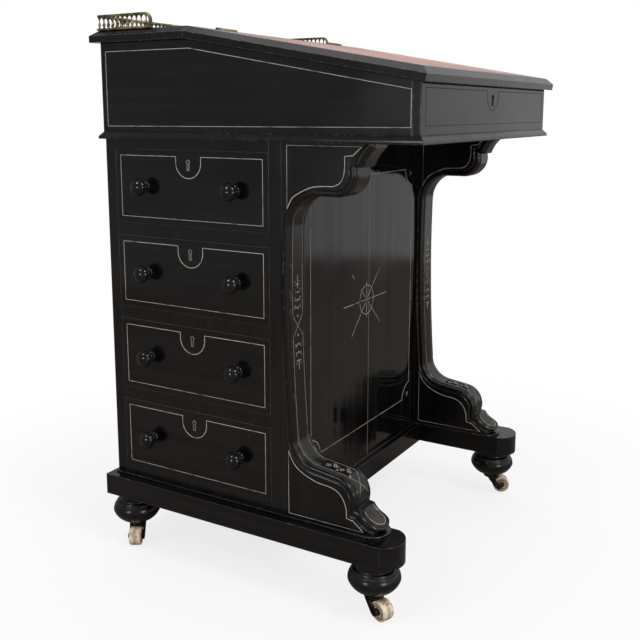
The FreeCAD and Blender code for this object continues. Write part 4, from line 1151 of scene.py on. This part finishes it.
legLines = {
    "back": 268.5,  # the leg's back, behind the middle of the desk
    "upper": [[(-335, 664), (-335, 576)],
              [(-335, 576), (-339, 584.5), (-344, 592), (-351, 597), (-366, 604.5), (-379, 608.5), (-395, 609.8),
               (-409, 610.4), (-419, 615.5), (-424, 624), (-426, 635), (-426, 651)],
              [(-426, 651), (-438.4, 652)], [(-438.4, 652), (-445, 658), (-452, 664)]],
    "lower": [[(-335, 126.4), (-335, 223)],
              [(-335, 223), (-342.6, 207), (-354, 196), (-371, 188), (-387.5, 183.6), (-404, 182), (-416.7, 177.7),
               (-426, 168), (-431, 155), (-431.7, 141)],
              [(-431.7, 141), (-442, 139.5)], [(-442, 139.5), (-447, 135.5), (-459, 126.4)]],
}


def legSidePaths():
    paths = []
    for runs in (legLines["upper"], legLines["lower"]):
        path = []
        for run in runs:
            path += (curveThrough(run) if len(run) > 2 else run)[:-1]
        path.append(runs[-1][-1])
        paths.append((scaled([(y + legLines["back"], z) for y, z in path]), True))
    return paths


for side, words in zip(sides, (("outer", "inner"), ("inner", "outer"))):
    for word, sign in zip(words, (-1, 1)):
        incise("%s_leg_%s_line" % (side, word), legSidePaths(), faceOf(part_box(side + "_bracket_leg"), 0, sign))

legFront = {  # in millimetres, and along the leg as distances down the scroll
    "across": 13.2,  # of the two lines on the band, from its middle
    "lens": (404.5, 16.0),  # height of their crossing, and half of its length
    "lensDots": (3.2, 1.5, 2.5),  # size, and distances from the lens's two ends
    "shank": (0.22, 0.56, 0.03),  # the upright part, in metres: heights and the reach from the back
    "flowers": (577, 588, 599, 610),
    "flower": (4.2, 1.6, 36),  # size, how far each one stands off the middle, and degrees from one to the next
    "leaf": (5.4, 4.5, 5.0, 2.0),  # beside a flower: its place, length and width
    "leafLean": 40,
    "patch": (569, 616, 20.5),
    "crossing": (616, 650),
    "sprigs": [(423, 473, 4), (386, 344, 3)],  # heights of root and tip, and pairs of wings
    "sprigSize": 10.2,
    "sprigWidth": (0.0007, 0.0004),  # width and depth of the strokes, in metres
    "fans": [((511, 11.2), (548, 11.0), (568, 9.8)), ((520, 8.9), (548, 8.4), (567, 6.6))],
    "thin": 0.00075,  # width of the fans and of the lines inside the toe's, in metres
    "worn": (118, 182),  # the band has no lines above these distances, and worn ones between them
    "toePoints": (20, 1.5),  # count and spacing of the points that follow the toe
    "toeStart": 676,
    "tongues": (11.4, 8.7, 6.0, 3.2),
    "tongue": 13.8,
}


def scrollSurface(node):
    # maps (across, distance down the scroll, lift) on to the leg's front, in metres
    low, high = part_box(node)
    middle, rear = (low.x + high.x) / 2, high.y
    count, pitch = legFront["toePoints"]
    row = legRow(0.0)
    start = row.index(min(row, key=lambda spot: math.dist(spot, (-142, bracketLeg["top"]))))
    row += [toeSpot(step * pitch, 0.0) for step in range(1, count + 1)]
    path = [Vector((rear + y * milli, low.z + z * milli)) for y, z in row[start:]]
    lengths = [0.0]
    for first, second in zip(path, path[1:]):
        lengths.append(lengths[-1] + (second - first).length)

    def surface(across, along, lift):
        along = min(max(along, 0.0), lengths[-1] - 1e-6)
        index = next(i for i in range(1, len(lengths)) if lengths[i] >= along)
        first, second = path[index - 1], path[index]
        spot = first.lerp(second, (along - lengths[index - 1]) / (lengths[index] - lengths[index - 1]))
        run = (second - first).normalized()
        return Vector((middle + across, spot.x + run.y * lift, spot.y - run.x * lift))

    def distanceAt(height):
        # along the upright shank
        lowest, highest, reach = legFront["shank"]
        return min((abs(spot.y - height * milli), length) for spot, length in zip(path, lengths)
                   if lowest < spot.y < highest and spot.x > rear - reach)[1]

    return surface, distanceAt, lengths


def tongue(half, start, centre):
    # a line down the toe, round its end and back up
    down = between((-half, start), (-half, centre), 6)
    path = [(-half, start), *down, (-half, centre)] + ringOf((0, centre), half, range(168, 0, -12))
    return scaled(path + [(half, centre)] + [(half, a) for _, a in reversed(down)] + [(half, start)]), False


def legFrontPaths(node):
    surface, distanceAt, lengths = scrollSurface(node)
    across, (height, half) = legFront["across"] * milli, legFront["lens"]
    lensAt, half = distanceAt(height), half * milli
    cross, lobeEnd, bare, worn = metres((*legFront["crossing"], *legFront["worn"]))
    bold, faint = [], []
    for a in (-across, across):
        for paths, start, end in ((faint, bare, worn + bracketLeg["step"] * milli), (bold, worn, lensAt - half),
                                  (bold, lensAt + half, cross)):
            paths.append(([(a, distance) for distance in lengths if start < distance < end], False))
        bold.append(([(a, lensAt - half), (0.0, lensAt), (-a, lensAt + half)], False))
        bold.append(([(a * (1 - step / 4), cross + (lobeEnd - cross) * step / 8) for step in range(9)], False))
    size, before, after = metres(legFront["lensDots"])
    detail = [dot((0.0, lensAt - half + before), size), dot((0.0, lensAt + half - after), size)]
    for low, high, pairs in legFront["sprigs"]:
        root, tip = distanceAt(low), distanceAt(high)
        detail += sprig((0.0, root), 90 if tip > root else -90, abs(tip - root), pairs, legFront["sprigSize"] * milli)
    size, off, turn = legFront["flower"]
    a, b, length, width = metres(legFront["leaf"])
    for index, distance in enumerate(legFront["flowers"]):
        sign = 1 if index % 2 else -1
        detail += flower((sign * off * milli, distance * milli), size * milli, 90 + turn * index)
        detail.append(leaf((-sign * a, distance * milli + b), 90 + sign * legFront["leafLean"], length, width))
    start, centre = legFront["toeStart"], lengths[-1 - legFront["toePoints"][0]] / milli
    faint += [(curveThrough(scaled([(sign * b, a) for a, b in fan])), False)
              for sign in (-1, 1) for fan in legFront["fans"]]
    faint += [tongue(half, start, centre) for half in legFront["tongues"]]
    return surface, bold, detail + [tongue(legFront["tongue"], start, centre)], faint


for side in sides:
    surface, bold, detail, faint = legFrontPaths(side + "_bracket_leg")
    incise(side + "_leg_band_lines", bold, surface, finish="dimLine")
    start, end, wide = metres(legFront["patch"])
    patch = [(0.0, start), *between((0.0, start), (0.0, end), 24), (0.0, end)]
    incise(side + "_leg_flower_ground", [(patch, False)], surface, "carcase", "sootyGround", wide, incised["film"])
    incise(side + "_leg_band_sprigs", detail, surface, "carcase", "giltLine", *legFront["sprigWidth"])
    incise(side + "_leg_band_faint_lines", faint, surface, finish="wornLine", width=legFront["thin"])

backLines = {
    "inset": 0.022,
}
low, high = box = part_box("back_panel")
incise("back_panel_line", [framed(low.x, high.x, low.z, high.z, backLines["inset"])], faceOf(box, 1, 1))
print("incised lines made")


# tooling round the leather, on the slope of the lid

tooling = {
    "insets": (0.009, 0.0125),
    "width": 0.0009,
    "slope": (0.065, 0.367),  # the lid's rise and run
}
slope = math.atan2(*tooling["slope"])


def slopeFace(a, b, lift):
    # b runs up the slope to the ridge
    return Vector((a, ridgeAt.y + b * math.cos(slope) - lift * math.sin(slope),
                   ridgeAt.z + b * math.sin(slope) + lift * math.cos(slope)))


low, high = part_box("writing_leather")
foot, head = ((spot.y - ridgeAt.y) / math.cos(slope) for spot in (low, high))
rims = [framed(low.x, high.x, foot, head, inset) for inset in tooling["insets"]]
incise("leather_tooling", rims, slopeFace, "lid", width=tooling["width"])
print("leather tooled")


# floor, lamps, surroundings and camera

white = (1.0, 1.0, 1.0)
warm = (1.0, 0.99, 0.97)
cool = (0.97, 0.985, 1.0)
studio = {
    "floor": 3.02,
    "floorColour": (0.95, 0.945, 0.94),
    "floorSeenInGloss": (0.25, 0.215, 0.195),
    "seen": (0.40, 1.05, 0.78, 1.0),  # where the floor turns white as it goes out, and from and to which share
    "mirrored": (2.72, 3.02, 0.0, 0.62),
    "lamps": [  # place, size, power, colour
        ((-0.55, -2.1, 2.5), (0.8, 0.8), 26.0, warm),
        ((-2.2, 0.7, 2.3), (0.6, 0.6), 11.0, cool),
        ((-1.21, -2.49, 0.62), (0.75, 0.30), 8.0, warm),
        ((-2.68, 0.27, 0.62), (0.50, 0.30), 6.0, cool),
        ((0.3, 0.3, 3.3), (1.8, 1.8), 8.0, white),
    ],
    "aim": (0.0, 0.0, 0.45),
    "brightSide": (0.866, -0.5, 0.0),
    "bright": (-0.35, 0.75, 0.26, 0.64),  # from its far side to its near one, and the shares there
    "around": (0.64, 0.64, 0.65),
}


def makeFloor():
    rim = [(a, b, 0) for a, b in ringOf((0, 0), studio["floor"], (step * 3.75 for step in range(96)))]
    mesh = newMesh("floor", rim, [], [list(range(len(rim)))])
    floor = linked("floor", mesh)
    tree = newFinish("paleFloor")
    path = tree.node("LightPath", {}).outputs
    away = tree.vectors("LENGTH", tree.place)
    colour = tree.layered(studio["floorSeenInGloss"], (path["Is Camera Ray"], studio["floorColour"]))
    seen = tree.times(tree.spread(away, *studio["seen"]), path["Is Camera Ray"])
    mirrored = tree.times(tree.spread(away, *studio["mirrored"]), path["Is Glossy Ray"])
    mesh.materials.append(tree.surfaced(tree.node("MixShader", {
        0: tree.work("ADD", seen, mirrored), 1: tree.node("BsdfDiffuse", {"Color": colour}).outputs[0],
        2: tree.node("Emission", {"Color": (*white, 1.0), "Strength": 1.0}).outputs[0]})))


def aimed(thing, place, direction):
    thing.location = place
    thing.rotation_mode = "QUATERNION"
    thing.rotation_quaternion = Vector(direction).to_track_quat("-Z", "Y")


def makeLamps():
    for number, (place, size, power, colour) in enumerate(studio["lamps"], start=1):
        lamp = bpy.data.lights.new("lamp%d" % number, "AREA")
        lamp.shape = "RECTANGLE"
        lamp.size, lamp.size_y = size
        lamp.energy = power
        lamp.color = colour
        aimed(linked(lamp.name, lamp), place, Vector(studio["aim"]) - Vector(place))


def makeWorld():
    world = bpy.data.worlds.new("studio")
    bpy.context.scene.world = world
    tree = shaderTree(world)
    path = tree.node("LightPath", {}).outputs
    facing = tree.vectors("DOT_PRODUCT", tree.spots["Generated"], studio["brightSide"])
    glossy = tree.layered((0, 0, 0), (tree.spread(facing, *studio["bright"]), white))
    plain = tree.layered(studio["around"], (path["Is Glossy Ray"], glossy))
    colour = tree.layered(plain, (path["Is Camera Ray"], white))
    background = tree.node("Background", {"Color": colour, "Strength": 1.0})
    tree.node("OutputWorld", {"Surface": background.outputs[0]})


view = {
    "place": (-1.2844, -0.7266, 0.7090),
    "yaw": 1.0379,
    "pitch": 0.1688,
    "lens": 882.8 * 36 / 640,
    "sensor": 36,
    "shift": -0.09,
}


def makeCamera():
    data = bpy.data.cameras.new("camera")
    data.lens = view["lens"]
    data.sensor_width = view["sensor"]
    data.shift_y = view["shift"]
    camera = linked("camera", data)
    yaw, pitch = view["yaw"], view["pitch"]
    level = math.cos(pitch)
    aimed(camera, view["place"], (math.sin(yaw) * level, math.cos(yaw) * level, -math.sin(pitch)))
    bpy.context.scene.camera = camera


makeFloor()
makeLamps()
makeWorld()
makeCamera()
bpy.context.scene.view_settings.view_transform = "Standard"
print("studio set")

bpy.context.view_layer.update()
